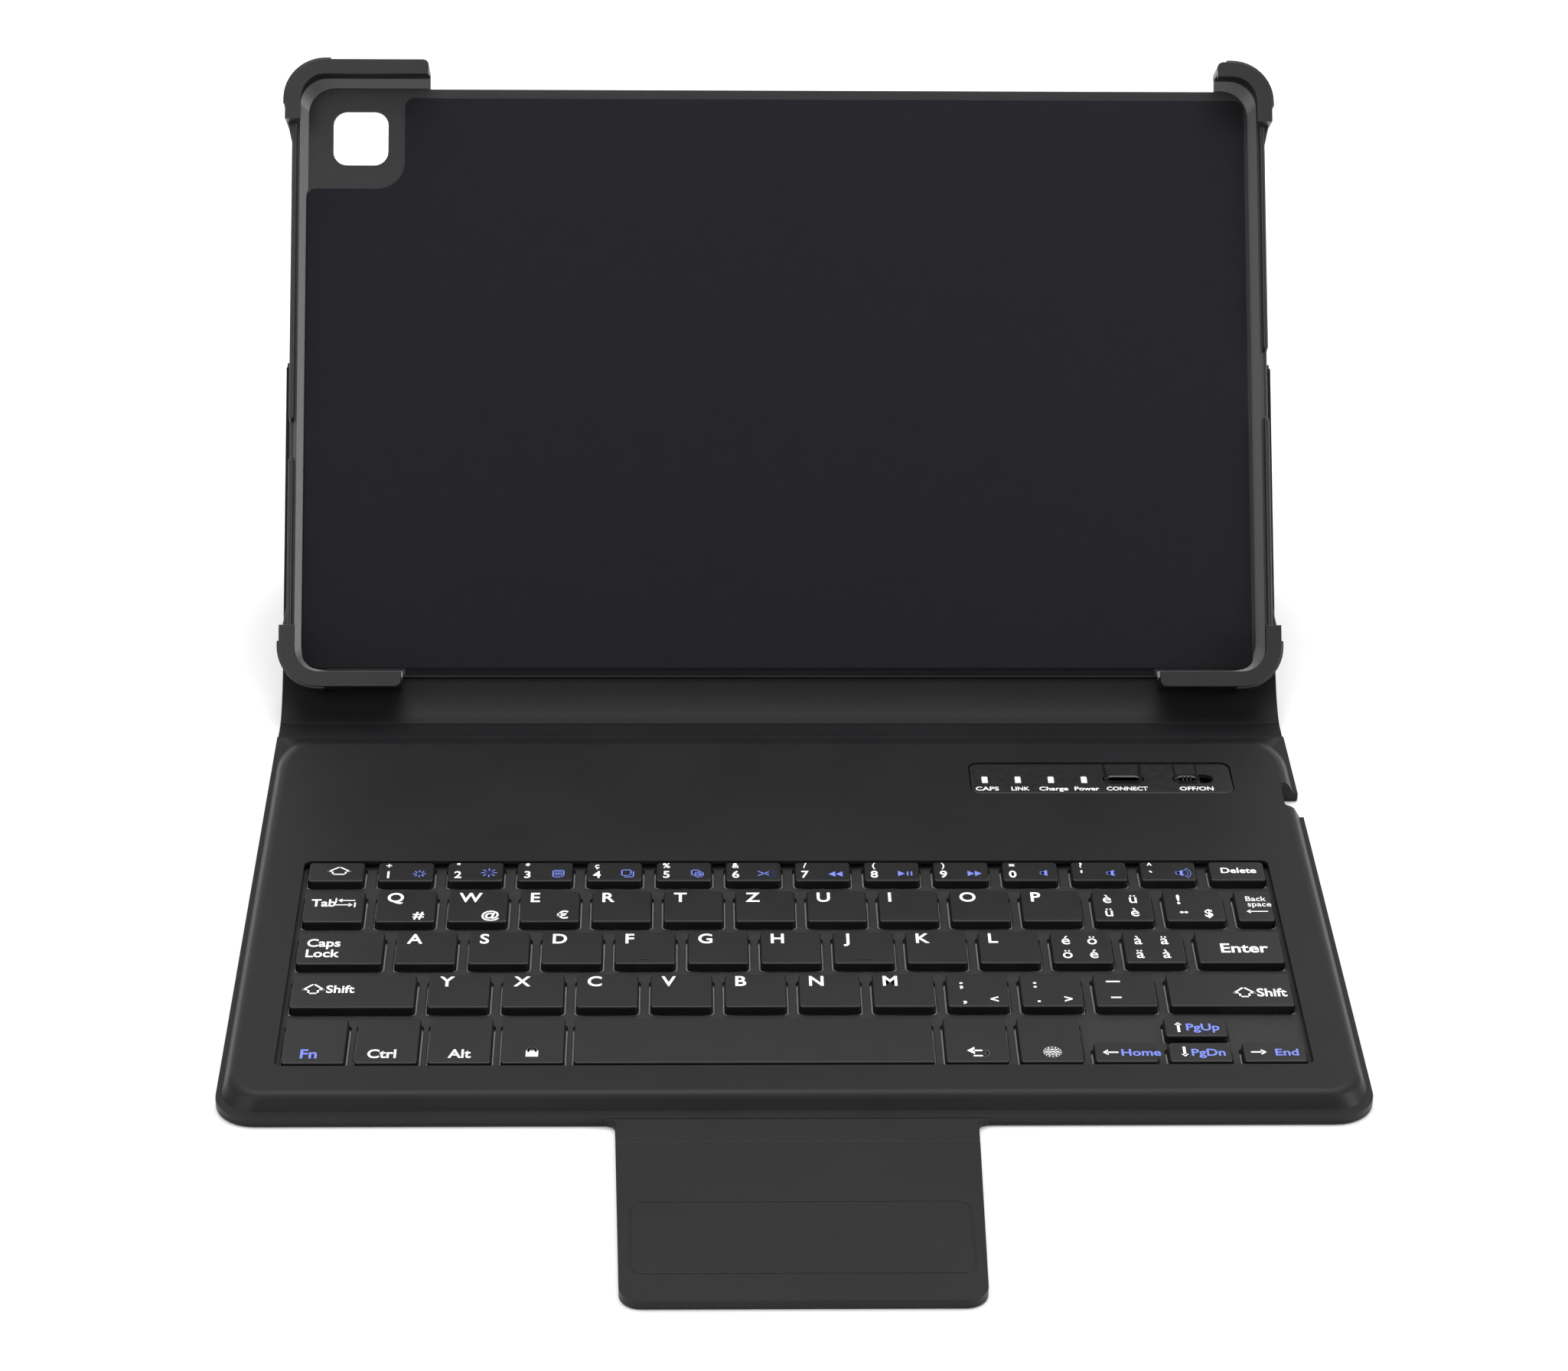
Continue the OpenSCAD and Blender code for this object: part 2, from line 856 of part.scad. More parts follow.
module stand_board() {
  color(card_brown)
    at_stand()
      plate(-panel_t + pocket_skin + board_fit, stand_top - pocket_skin - board_fit)
        difference() {
          stand_outline(pocket_edge + board_fit);
          camera_window(window_margin + pocket_edge / 2 + board_fit);
          catch_outline(0);
        }
}

module catch_plate() {
  color(steel_grey)
    at_stand()
      plate(-panel_t + pocket_skin + board_fit, stand_top - pocket_skin - board_fit)
        catch_outline(board_fit);
}

// The tray's outline, from the outside of the clips inwards
module tray_outline(inset) {
  translate([0, bay_mid])
    rounded(tray_w - 2 * inset, tray_h - 2 * inset, bay_r + clip_t - inset);
}

// Where a corner clip stands: an L round one corner, reaching along the top or
// bottom, and down the side
module clip_zone(side, end, along, down) {
  x = side > 0 ? tray_w / 2 - along : -tray_w / 2 - 1;
  y = end > 0 ? tray_gap + tray_h - down : tray_gap - 1;
  translate([x, y])
    square([along + 1, down + 1]);
}

module clip_zones(down) {
  clip_zone(-1, 1, clip_top_left, down);
  clip_zone(1, 1, clip_top_right, down);
  clip_zone(-1, -1, clip_bottom, down);
  clip_zone(1, -1, clip_bottom, down);
}

// The taper that runs a clip out into the side wall
module clip_run_out(side, end) {
  x = side * tray_w / 2;
  inner = side * (bay_w / 2 + wall_t);
  y = end > 0 ? tray_gap + tray_h - clip_side : tray_gap + clip_side;
  polygon([[x, y], [inner, y], [inner, y - end * clip_taper]]);
}

module side_walls() {
  from = tray_gap + clip_side - 1;
  to = tray_gap + tray_h - clip_side + 1;
  difference() {
    for (side = [-1, 1])
      translate([side * (bay_w + wall_t) / 2, (from + to) / 2, wall_h / 2])
        cube([wall_t, to - from, wall_h], center = true);
    translate([bay_w / 2 - 1, tray_gap + port_at - port_l / 2, wall_h - port_depth])
      cube([wall_t + 2, port_l, port_depth + 1]);
    translate([
      -bay_w / 2 - wall_t - 1,
      tray_gap + side_notch_at - side_notch_l / 2,
      wall_h - side_notch_depth
    ])
      cube([wall_t + 2, side_notch_l, side_notch_depth + 1]);
  }
}

bead_overlap = 0.4;
bead_gap = 0.9;
bead_h = 1.2;
bead_flat = 0.7;
bead_sink = 0.2;
lip_inset = 0.3;
lip_short = 1.5;

// A raised bead with a sloped inner face along each side of the floor
module side_beads() {
  from = tray_gap + clip_side;
  to = tray_gap + tray_h - clip_side;
  bead_in = bay_w / 2 - lining_side + bead_overlap;
  bead_out = bay_w / 2 - bead_gap;
  for (side = [-1, 1])
    translate([0, to, 0])
      rotate([90, 0, 0])
        linear_extrude(to - from)
          polygon([
            [side * bead_in, floor_t - bead_sink],
            [side * bead_out, floor_t - bead_sink],
            [side * bead_out, floor_t + bead_h],
            [side * (bead_out - bead_flat), floor_t + bead_h],
            [side * bead_in, floor_t + tiny]
          ]);
}

module tray_shell() {
  color(shell_black)
    at_back()
      difference() {
        union() {
          plate(0, floor_t)
            translate([0, tray_gap + (floor_back_bottom + tray_h - floor_back_top) / 2])
              square(
                [bay_w + 2 * wall_t, tray_h - floor_back_top - floor_back_bottom],
                center = true
              );
          plate(0, floor_t)
            intersection() {
              tray_outline(0);
              clip_zones(clip_side);
            }
          plate(0, clip_h - lip_t)
            intersection() {
              difference() {
                tray_outline(0);
                tray_outline(clip_t);
              }
              clip_zones(clip_side);
            }
          plate(clip_h - lip_t, clip_h)
            intersection() {
              difference() {
                tray_outline(lip_inset);
                tray_outline(clip_t + lip_over);
              }
              clip_zones(clip_side - lip_short);
            }
          plate(0, wall_h)
            for (side = [-1, 1], end = [-1, 1])
              clip_run_out(side, end);
          side_walls();
          side_beads();
        }
        plate(-1, floor_t + 1)
          camera_window(0);
      }
}

module tray_lining() {
  w = bay_w - 2 * lining_side;
  from = tray_gap + lining_bottom;
  to = tray_gap + tray_h - lining_top;
  bare_x = camera_x + camera_w / 2 + camera_margin;
  bare_v = camera_v - camera_w / 2 - camera_margin;
  notch_r = 7;
  color(lining_black)
    at_back()
      plate(floor_t, floor_t + lining_t)
        difference() {
          translate([-w / 2, from])
            square([w, to - from]);
          translate([bare_x - w, bare_v + notch_r])
            square([w, to]);
          translate([bare_x - w - notch_r, bare_v])
            square([w, to]);
          translate([bare_x - notch_r, bare_v + notch_r])
            circle(notch_r);
        }
}

corner_step = 15;

// Half the flap's width at a distance from its root
function flap_half(at) = (flap_root_w + (flap_tip_w - flap_root_w) * at / flap_l) / 2;

module flap_slab(from, to) {
  translate([0, front_y])
    polygon([
      [-flap_half(from), -from],
      [flap_half(from), -from],
      [flap_half(to), -to],
      [-flap_half(to), -to]
    ]);
}

// The flap's free end has round corners: points along one, from an angle to another
function flap_corner(side, from, step, to) = [
  for (a = [from:step:to])
    [
      side * (flap_half(flap_l - flap_r) - flap_r + flap_r * cos(a)),
      flap_r - flap_l - flap_r * sin(a)
    ]
];

module flap_tip_outline() {
  from = bridge_l + crease_gap;
  translate([0, front_y])
    polygon(concat(
      [[flap_half(from), -from], [-flap_half(from), -from]],
      flap_corner(-1, 0, corner_step, 90),
      flap_corner(1, 90, -corner_step, 0)
    ));
}

stiffener_w = flap_tip_w - 9;
stiffener_z = (flap_t - stiffener_t) / 2;

module stiffener_outline(fit) {
  translate([0, front_y - stiffener_from - stiffener_l / 2])
    rounded(stiffener_w - 2 * fit, stiffener_l - 2 * fit, 2);
}

module magnet_places() {
  step = stiffener_w / flap_magnets_n;
  for (n = [0:flap_magnets_n - 1])
    translate([(n - (flap_magnets_n - 1) / 2) * step, front_y - stiffener_from - stiffener_l / 2])
      children();
}

module flap_bridge() {
  color(skin_black)
    plate(0, flap_t)
      flap_slab(crease_gap, bridge_l - crease_gap);
}

module flap_tip() {
  color(skin_black)
    difference() {
      plate(0, flap_t)
        flap_tip_outline();
      plate(stiffener_z, stiffener_z + stiffener_t)
        stiffener_outline(0);
    }
}

module flap_stiffener() {
  color(card_brown)
    plate(stiffener_z + board_fit, stiffener_z + stiffener_t - board_fit)
      difference() {
        stiffener_outline(board_fit);
        magnet_places()
          circle(magnet_r + board_fit);
      }
}

module flap_magnets() {
  color("silver")
    plate(stiffener_z + board_fit, stiffener_z + stiffener_t - board_fit)
      magnet_places()
        circle(magnet_r);
}

module key_q() { keycap(letter(row_2, row_2_left, 0)); }
module key_w_letter() { keycap(letter(row_2, row_2_left, 1)); }
module key_e() { keycap(letter(row_2, row_2_left, 2)); }
module key_r_letter() { keycap(letter(row_2, row_2_left, 3)); }
module key_t() { keycap(letter(row_2, row_2_left, 4)); }
module key_z() { keycap(letter(row_2, row_2_left, 5)); }
module key_u() { keycap(letter(row_2, row_2_left, 6)); }
module key_i() { keycap(letter(row_2, row_2_left, 7)); }
module key_o() { keycap(letter(row_2, row_2_left, 8)); }
module key_p() { keycap(letter(row_2, row_2_left, 9)); }
module key_a() { keycap(letter(row_3, row_3_left, 0)); }
module key_s() { keycap(letter(row_3, row_3_left, 1)); }
module key_d_letter() { keycap(letter(row_3, row_3_left, 2)); }
module key_f() { keycap(letter(row_3, row_3_left, 3)); }
module key_g() { keycap(letter(row_3, row_3_left, 4)); }
module key_h() { keycap(letter(row_3, row_3_left, 5)); }
module key_j() { keycap(letter(row_3, row_3_left, 6)); }
module key_k() { keycap(letter(row_3, row_3_left, 7)); }
module key_l() { keycap(letter(row_3, row_3_left, 8)); }
module key_y() { keycap(letter(row_4, row_4_left, 0)); }
module key_x() { keycap(letter(row_4, row_4_left, 1)); }
module key_c() { keycap(letter(row_4, row_4_left, 2)); }
module key_v() { keycap(letter(row_4, row_4_left, 3)); }
module key_b() { keycap(letter(row_4, row_4_left, 4)); }
module key_n() { keycap(letter(row_4, row_4_left, 5)); }
module key_m() { keycap(letter(row_4, row_4_left, 6)); }
module key_space() { keycap(space); }
module number_row_keys() { for (key = number_row) keycap(key); }
module tab_row_keys() { for (key = tab_row) keycap(key); }
module caps_row_keys() { for (key = caps_row) keycap(key); }
module shift_row_keys() { for (key = shift_row) keycap(key); }
module bottom_row_keys() { for (key = bottom_row) keycap(key); }

base_skin();
base_plate();
deck_skin();
top_frame();
key_frame();
dome_sheet();
membrane();
backing_plate();
circuit_board();
battery();
charge_socket();
indicator_panel();
status_lenses();
switch_bodies();
connect_button();
power_slider();
spine_skin();
back_skin();
back_board();
tray_shell();
tray_lining();
stand_skin();
stand_board();
catch_plate();
flap_bridge();
flap_tip();
flap_stiffener();
flap_magnets();
key_q();
key_w_letter();
key_e();
key_r_letter();
key_t();
key_z();
key_u();
key_i();
key_o();
key_p();
key_a();
key_s();
key_d_letter();
key_f();
key_g();
key_h();
key_j();
key_k();
key_l();
key_y();
key_x();
key_c();
key_v();
key_b();
key_n();
key_m();
key_space();
number_row_keys();
tab_row_keys();
caps_row_keys();
shift_row_keys();
bottom_row_keys();
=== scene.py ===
# %% [markdown]
# # A tablet keyboard case
# A folio case stands open on its kickstand. Its hard parts are already drawn as
# exact solids. This lesson loads them as a fixed frame, and builds round them
# what the eye sees: soft skins, rounded keycaps, printed legends and finishes.

import json
import math

import bmesh
import bpy
from mathutils import Matrix, Vector


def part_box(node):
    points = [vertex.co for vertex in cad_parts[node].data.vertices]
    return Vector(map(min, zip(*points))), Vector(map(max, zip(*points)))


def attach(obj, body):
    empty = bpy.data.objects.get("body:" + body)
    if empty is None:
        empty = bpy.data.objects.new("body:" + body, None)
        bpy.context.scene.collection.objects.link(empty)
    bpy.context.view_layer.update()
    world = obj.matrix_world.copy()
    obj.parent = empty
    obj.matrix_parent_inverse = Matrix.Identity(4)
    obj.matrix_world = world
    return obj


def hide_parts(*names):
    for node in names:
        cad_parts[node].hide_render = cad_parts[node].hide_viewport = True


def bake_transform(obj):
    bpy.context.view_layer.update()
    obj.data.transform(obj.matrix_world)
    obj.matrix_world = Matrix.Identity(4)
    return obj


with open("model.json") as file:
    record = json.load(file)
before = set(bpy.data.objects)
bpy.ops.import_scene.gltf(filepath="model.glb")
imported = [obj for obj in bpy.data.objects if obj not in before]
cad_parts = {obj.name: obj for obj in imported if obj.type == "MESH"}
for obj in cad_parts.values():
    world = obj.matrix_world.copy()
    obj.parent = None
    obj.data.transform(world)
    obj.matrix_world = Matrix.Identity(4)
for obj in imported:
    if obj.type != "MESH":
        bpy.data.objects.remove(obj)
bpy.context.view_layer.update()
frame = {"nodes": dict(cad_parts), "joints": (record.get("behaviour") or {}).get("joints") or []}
MM = 0.001

# %% [markdown]
# Blender's operators work on whatever is selected, so a few helpers pick things
# by place. `block` adds a cube at its size. `pick` enters edit mode with only
# the vertices, edges or faces that pass a test selected.

# %% Helpers for modelling


def deselect():
    if bpy.context.object and bpy.context.object.mode != "OBJECT":
        bpy.ops.object.mode_set(mode="OBJECT")
    bpy.ops.object.select_all(action="DESELECT")


def activate(thing):
    deselect()
    thing.select_set(True)
    bpy.context.view_layer.objects.active = thing


def settle(thing):
    """Puts the object's place into its mesh."""
    activate(thing)
    bpy.ops.object.transform_apply(location=True, rotation=True, scale=True)
    return thing


def block(name, low, high):
    """A cube between two corners, in millimetres."""
    deselect()
    low, high = Vector(low) * MM, Vector(high) * MM
    bpy.ops.mesh.primitive_cube_add(size=1, location=(low + high) / 2)
    thing = bpy.context.object
    thing.name = thing.data.name = name
    thing.scale = high - low
    return settle(thing)


def middle(part):
    """The middle of a vertex, an edge or a face, in millimetres."""
    if isinstance(part, bmesh.types.BMVert):
        return part.co / MM
    return sum((v.co for v in part.verts), Vector()) / len(part.verts) / MM


def spread(part):
    """How far an edge or a face reaches along X, Y and Z, in millimetres."""
    places = [v.co / MM for v in part.verts]
    return Vector([max(p[i] for p in places) - min(p[i] for p in places) for i in range(3)])


def pick(thing, kind, test):
    activate(thing)
    bpy.ops.object.mode_set(mode="EDIT")
    bpy.ops.mesh.select_mode(type=kind)
    bpy.ops.mesh.select_all(action="DESELECT")
    mesh = bmesh.from_edit_mesh(thing.data)
    parts = {"VERT": mesh.verts, "EDGE": mesh.edges, "FACE": mesh.faces}[kind]
    for part in parts:
        if test(part):
            part.select_set(True)
    mesh.select_flush_mode()
    bmesh.update_edit_mesh(thing.data)


def round_edges(thing, test, radius, steps=4):
    """Bevels the edges that pass a test."""
    pick(thing, "EDGE", test)
    bpy.ops.mesh.bevel(
        offset=radius * MM, segments=steps, affect="EDGES", clamp_overlap=True
    )
    deselect()
    return thing


def push(thing, test, move):
    """Moves the vertices that pass a test."""
    pick(thing, "VERT", test)
    bpy.ops.transform.translate(value=Vector(move) * MM)
    deselect()
    return thing


def upright(part, long=0.3):
    reach = spread(part)
    return reach.x < 0.01 and reach.y < 0.01 and reach.z > long


def modify(thing, kind, **settings):
    """Adds a modifier and applies it."""
    activate(thing)
    made = thing.modifiers.new(kind.title(), kind)
    for key, value in settings.items():
        setattr(made, key, value)
    bpy.ops.object.modifier_apply(modifier=made.name)
    return thing


def cut(thing, *tools, keep="DIFFERENCE"):
    """Takes the tools away from the thing, and deletes them."""
    for tool in tools:
        modify(thing, "BOOLEAN", object=tool, operation=keep, solver="EXACT")
        activate(tool)
        bpy.ops.object.delete()
    return thing


def join(name, things):
    activate(things[0])
    for thing in things:
        thing.select_set(True)
    if len(things) > 1:
        bpy.ops.object.join()
    whole = bpy.context.object
    whole.name = whole.data.name = name
    return whole


def soften(thing, width, steps=2, angle=35, shade=40):
    """Rounds every sharp edge a little, and shades the result smooth."""
    modify(
        thing, "BEVEL", width=width * MM, segments=steps, limit_method="ANGLE",
        angle_limit=math.radians(angle), miter_outer="MITER_ARC", use_clamp_overlap=True,
    )
    return smooth(thing, shade)


def smooth(thing, shade=40):
    """Smooth shading, with large flat faces kept flat right up to their rounded edges."""
    activate(thing)
    bpy.ops.object.shade_smooth_by_angle(angle=math.radians(shade))
    modify(thing, "WEIGHTED_NORMAL", keep_sharp=True, weight=100)
    deselect()
    return thing


def slab(name, low, high, radius, steps=6):
    """A block with its four upright edges rounded."""
    thing = block(name, low, high)
    if radius > 0:
        round_edges(thing, upright, radius, steps)
    return thing


def copy_of(thing, name, move=(0, 0, 0)):
    """A copy with its own mesh, moved in millimetres."""
    twin = thing.copy()
    twin.data = thing.data.copy()
    twin.name = twin.data.name = name
    bpy.context.collection.objects.link(twin)
    twin.location = Vector(move) * MM
    return settle(twin)


def delete(*things):
    deselect()
    for thing in things:
        thing.select_set(True)
    bpy.ops.object.delete()


# %% [markdown]
# Every size comes from the frame: the boxes of the solids, and the places and
# ranges of the joints. The ranges also say how steep each panel stands at rest.

# %% Sizes from the frame
JOINTS = {j["name"]: j for j in frame["joints"]}


def box_mm(node):
    low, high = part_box(node)
    return Vector(low) / MM, Vector(high) / MM


def joint_place(name):
    return Vector(JOINTS[name]["pos_m"]) / MM


def low_limit(name):
    return JOINTS[name]["range_deg"][0]


SPINE_AT = joint_place("spine_fold")
TRAY_AT = joint_place("tray_fold")
STAND_AT = joint_place("kickstand_fold")
FLAP_AT = joint_place("flap_root_fold")
FOLD_AT = joint_place("flap_tip_fold")
SPINE_RISE = -low_limit("spine_fold")
TRAY_SLOPE = SPINE_RISE - low_limit("tray_fold")
STAND_TURN = -low_limit("kickstand_fold")
COVER_LOW, COVER_HIGH = box_mm("base_skin")
DECK_LOW, DECK_HIGH = box_mm("deck_skin")
HALF_W = COVER_HIGH.x
FRONT, REAR = COVER_LOW.y, COVER_HIGH.y
DECK = DECK_HIGH.z
PANEL_T = SPINE_AT.z
print("tray slope", TRAY_SLOPE, "kickstand turn", STAND_TURN, "deck", DECK)

# On the back cover, v runs up from the crease and w stands out of its inner face
ON_TRAY = Matrix.Translation(TRAY_AT * MM) @ Matrix.Rotation(math.radians(TRAY_SLOPE), 4, "X")
SWING = (
    Matrix.Translation(STAND_AT * MM)
    @ Matrix.Rotation(math.radians(-STAND_TURN), 4, "X")
    @ Matrix.Translation(-STAND_AT * MM)
)
ON_STAND = SWING @ ON_TRAY
TO_TRAY = ON_TRAY.inverted()
STAND_V = (TO_TRAY @ (STAND_AT * MM)).y / MM


def place(thing, matrix):
    thing.matrix_world = matrix
    return settle(thing)


# %% [markdown]
# ## Finishes
# A material is a small network of nodes. The class below wraps one output of a
# node, so that ordinary Python arithmetic on it adds the Math nodes. Noise and
# cell patterns on the object's own coordinates give each surface its grain.

# %% A small language for shader nodes


class Wire:
    """One output of a node. Arithmetic on it makes Math nodes."""

    def __init__(self, finish, socket):
        self.finish, self.socket = finish, socket

    def math(self, operation, *others, swap=False):
        values = [self, *others]
        if swap:
            values.reverse()
        return self.finish.node("ShaderNodeMath", values, operation=operation)

    def __add__(self, other):
        return self.math("ADD", other)

    def __sub__(self, other):
        return self.math("SUBTRACT", other)

    def __rsub__(self, other):
        return self.math("SUBTRACT", other, swap=True)

    def __mul__(self, other):
        return self.math("MULTIPLY", other)

    __radd__ = __add__
    __rmul__ = __mul__

    def clamp(self):
        return self.finish.node("ShaderNodeClamp", [self])

    def mix(self, low, high):
        """A colour between two, by this value."""
        return self.finish.node(
            "ShaderNodeMix", {0: self, 6: (*low, 1), 7: (*high, 1)}, out=2, data_type="RGBA"
        )


class Finish:
    """A material on the Principled shader. Constants go on its own sockets."""

    def __init__(self, name, **constants):
        self.material = bpy.data.materials.new(name)
        self.material.use_nodes = True
        self.tree = self.material.node_tree
        self.shader = self.tree.nodes["Principled BSDF"]
        for key, value in constants.items():
            self.shader.inputs[key.replace("_", " ")].default_value = value

    def node(self, kind, values=(), out=0, **settings):
        made = self.tree.nodes.new(kind)
        for key, value in settings.items():
            setattr(made, key, value)
        for key, value in values.items() if isinstance(values, dict) else enumerate(values):
            if isinstance(value, Wire):
                self.tree.links.new(value.socket, made.inputs[key])
            else:
                made.inputs[key].default_value = value
        return Wire(self, made.outputs[out])

    def coordinates(self, stretch=(1, 1, 1)):
        place = self.node("ShaderNodeTexCoord", out=3)
        return self.node("ShaderNodeMapping", {0: place, 3: stretch})

    def noise(self, size, detail=2.0, stretch=(1, 1, 1), rough=0.5):
        """Noise whose lumps are about size millimetres across."""
        return self.node(
            "ShaderNodeTexNoise",
            {"Vector": self.coordinates(stretch), "Scale": 1 / (size * MM), "Detail": detail,
             "Roughness": rough},
        )

    def cells(self, size):
        return self.node(
            "ShaderNodeTexVoronoi", {"Vector": self.coordinates(), "Scale": 1 / (size * MM)}
        )

    def feed(self, **wires):
        for key, wire in wires.items():
            self.tree.links.new(wire.socket, self.shader.inputs[key.replace("_", " ")])
        return self

    def bump(self, height, depth, strength=1.0):
        """Raises the surface by up to depth millimetres."""
        made = self.node(
            "ShaderNodeBump",
            {"Strength": strength, "Distance": depth * MM, "Height": height},
        )
        return self.feed(Normal=made)


# %% [markdown]
# The cover's skin is a thin, soft artificial leather: nearly black, quite matt,
# with a fine pebble grain and faint cloudy patches where the light catches it.

# %% Cover skin
def skin_finish(name, gloss):
    skin = Finish(name, Specular_IOR_Level=gloss)
    patches = skin.noise(26, detail=4)
    pebbles = skin.cells(0.42)
    pores = skin.noise(0.3, detail=3)
    clouds = (patches * 0.6 + pores * 0.4).clamp()
    skin.feed(Base_Color=clouds.mix((0.0052, 0.0052, 0.0060), (0.0108, 0.0108, 0.0120)))
    skin.feed(Roughness=(patches * 0.1 + pores * 0.1 + 0.34).clamp())
    skin.bump(pebbles * 0.5 + pores * 0.8, 0.045, 0.55)
    return skin.material


SKIN = skin_finish("cover_skin", 0.21)
# Painted shade: the spine and the lower back cover lie in the tray's shadow, so they get a copy of
# the skin that shines less
SHADED_SKIN = skin_finish("shaded_skin", 0.11)

# The keycaps are harder and a little darker, with a very fine spark texture
keys = Finish("key_plastic", Specular_IOR_Level=0.4)
spark = keys.noise(0.16, detail=2)
rub = keys.noise(7, detail=3)
keys.feed(
    Base_Color=(rub * 0.7 + spark * 0.3).clamp().mix(
        (0.0026, 0.0026, 0.0032), (0.0056, 0.0056, 0.0064)
    )
)
keys.feed(Roughness=(rub * 0.1 + spark * 0.08 + 0.26).clamp())
keys.bump(spark, 0.02, 0.5)
KEYS = keys.material

# The frame between the keys is the same plastic, duller and dustier
ribs = Finish("rib_plastic", Specular_IOR_Level=0.4)
dust = ribs.noise(2.2, detail=5)
ribs.feed(Base_Color=dust.mix((0.005, 0.005, 0.0055), (0.011, 0.011, 0.012)))
ribs.feed(Roughness=(dust * 0.25 + 0.42).clamp())
ribs.bump(ribs.noise(0.2, detail=2), 0.02, 0.5)
RIBS = ribs.material

# The tray is moulded in a mould with a sparked surface: semi-gloss and grainy
shell = Finish("tray_plastic", Specular_IOR_Level=0.5)
sparks = shell.noise(0.45, detail=4, rough=0.6)
drift = shell.noise(18, detail=3)
shell.feed(
    Base_Color=(sparks * 0.5 + drift * 0.5).clamp().mix(
        (0.0025, 0.0025, 0.003), (0.0085, 0.0085, 0.0098)
    )
)
shell.feed(Roughness=(sparks * 0.24 + drift * 0.1 + 0.2).clamp())
shell.bump(sparks, 0.06, 0.7)
SHELL = shell.material

# Painted highlight: the skirt inside the walls gets a lighter, shinier copy of the tray plastic,
# for the light it catches
skirt_sheen = Finish("skirt_sheen_plastic", Specular_IOR_Level=0.9)
grain = skirt_sheen.noise(0.35, detail=4, rough=0.65)
skirt_sheen.feed(Base_Color=grain.mix((0.004, 0.004, 0.005), (0.016, 0.016, 0.018)))
skirt_sheen.feed(Roughness=(grain * 0.25 + 0.26).clamp())
skirt_sheen.bump(grain, 0.06, 0.6)
SKIRT_SHEEN = skirt_sheen.material

# Painted shade: the strip of the tray below the lining is coloured very dark, smooth and with
# little shine, for the shade that falls there
strip_shade = Finish("shade_plastic", Specular_IOR_Level=0.1)
streaks = strip_shade.noise(1.4, detail=5, stretch=(0.2, 1, 1), rough=0.7)
strip_shade.feed(Base_Color=streaks.mix((0.0012, 0.0012, 0.0015), (0.006, 0.006, 0.007)))
strip_shade.feed(Roughness=(streaks * 0.2 + 0.3).clamp())
strip_shade.bump(streaks, 0.02, 0.4)
STRIP_SHADE = strip_shade.material

# The lining is a short felt: fine fibres every way, and soft cloudy mottling
felt = Finish("felt_lining", Specular_IOR_Level=0.15, Sheen_Weight=0.12, Sheen_Roughness=0.6,
              Sheen_Tint=(0.5, 0.52, 0.62, 1))
fibres = felt.noise(0.5, detail=5, stretch=(1, 0.35, 0.35), rough=0.7)
across = felt.noise(0.5, detail=5, stretch=(0.35, 1, 1), rough=0.7)
cloud = felt.noise(5, detail=6, rough=0.65)
nap = fibres * 0.5 + across * 0.5
felt.feed(
    Base_Color=(nap * 0.6 + cloud * 0.7 - 0.2).clamp().mix(
        (0.0022, 0.0022, 0.0034), (0.0085, 0.0087, 0.0112)
    )
)
felt.feed(Roughness=(cloud * 0.15 + 0.82).clamp())
felt.bump(nap, 0.12, 0.8)
FELT = felt.material


# %% [markdown]
# The smaller finishes share one recipe: a base colour that drifts a little,
# a roughness, and a fine bump. Inner parts that only show when the case is
# taken apart use it too, so no part is left in a flat colour.


# %% Small finishes
def plain_finish(name, dark, light, rough, size=3.0, depth=0.02, **constants):
    made = Finish(name, **constants)
    drift = made.noise(size, detail=4)
    made.feed(Base_Color=drift.mix(dark, light), Roughness=(drift * 0.15 + rough).clamp())
    made.bump(made.noise(size / 8, detail=2), depth, 0.4)
    return made.material


GLOSS = plain_finish(
    "gloss_black", (0.003, 0.003, 0.0035), (0.006, 0.006, 0.007), 0.16, depth=0.004
)
PANEL = plain_finish("panel_plastic", (0.004, 0.004, 0.0045), (0.008, 0.008, 0.009), 0.3, size=1.6)
WHITE = plain_finish(
    "white_print", (0.78, 0.78, 0.8), (0.9, 0.9, 0.9), 0.45, size=0.8, depth=0.004
)
BLUE = plain_finish(
    "blue_print", (0.13, 0.18, 0.62), (0.17, 0.22, 0.70), 0.45, size=0.8, depth=0.004
)
STEEL = plain_finish("steel", (0.5, 0.49, 0.47), (0.62, 0.61, 0.6), 0.28, Metallic=1.0)
LENS = plain_finish("light_window", (0.62, 0.64, 0.66), (0.75, 0.77, 0.79), 0.25, size=1.2)
BOARD = plain_finish("board_laminate", (0.01, 0.07, 0.03), (0.02, 0.1, 0.045), 0.3)
FOIL = plain_finish("battery_foil", (0.42, 0.43, 0.46), (0.55, 0.56, 0.6), 0.3, Metallic=0.8)
SILICONE = plain_finish("silicone", (0.55, 0.55, 0.52), (0.66, 0.66, 0.62), 0.5)
FILM = plain_finish("film", (0.66, 0.66, 0.6), (0.76, 0.76, 0.7), 0.2)
CARD = plain_finish("stiff_board", (0.3, 0.26, 0.2), (0.4, 0.36, 0.3), 0.8)
MAGNET = plain_finish("magnet", (0.55, 0.55, 0.56), (0.66, 0.66, 0.67), 0.2, Metallic=1.0)


def wear(thing, *materials):
    thing.data.materials.clear()
    for material in materials:
        thing.data.materials.append(material)
    return thing


def finished(thing, body, slot, *nodes, material=None):
    """The piece gets its finish, its body, and the nodes it stands for. Its slot is not used.
    A piece that bends between two bodies has no body here."""
    if material:
        wear(thing, material)
    if body:
        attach(thing, body)
    if nodes:
        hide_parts(*nodes)
    print(thing.name, len(thing.data.polygons), "faces")
    return thing


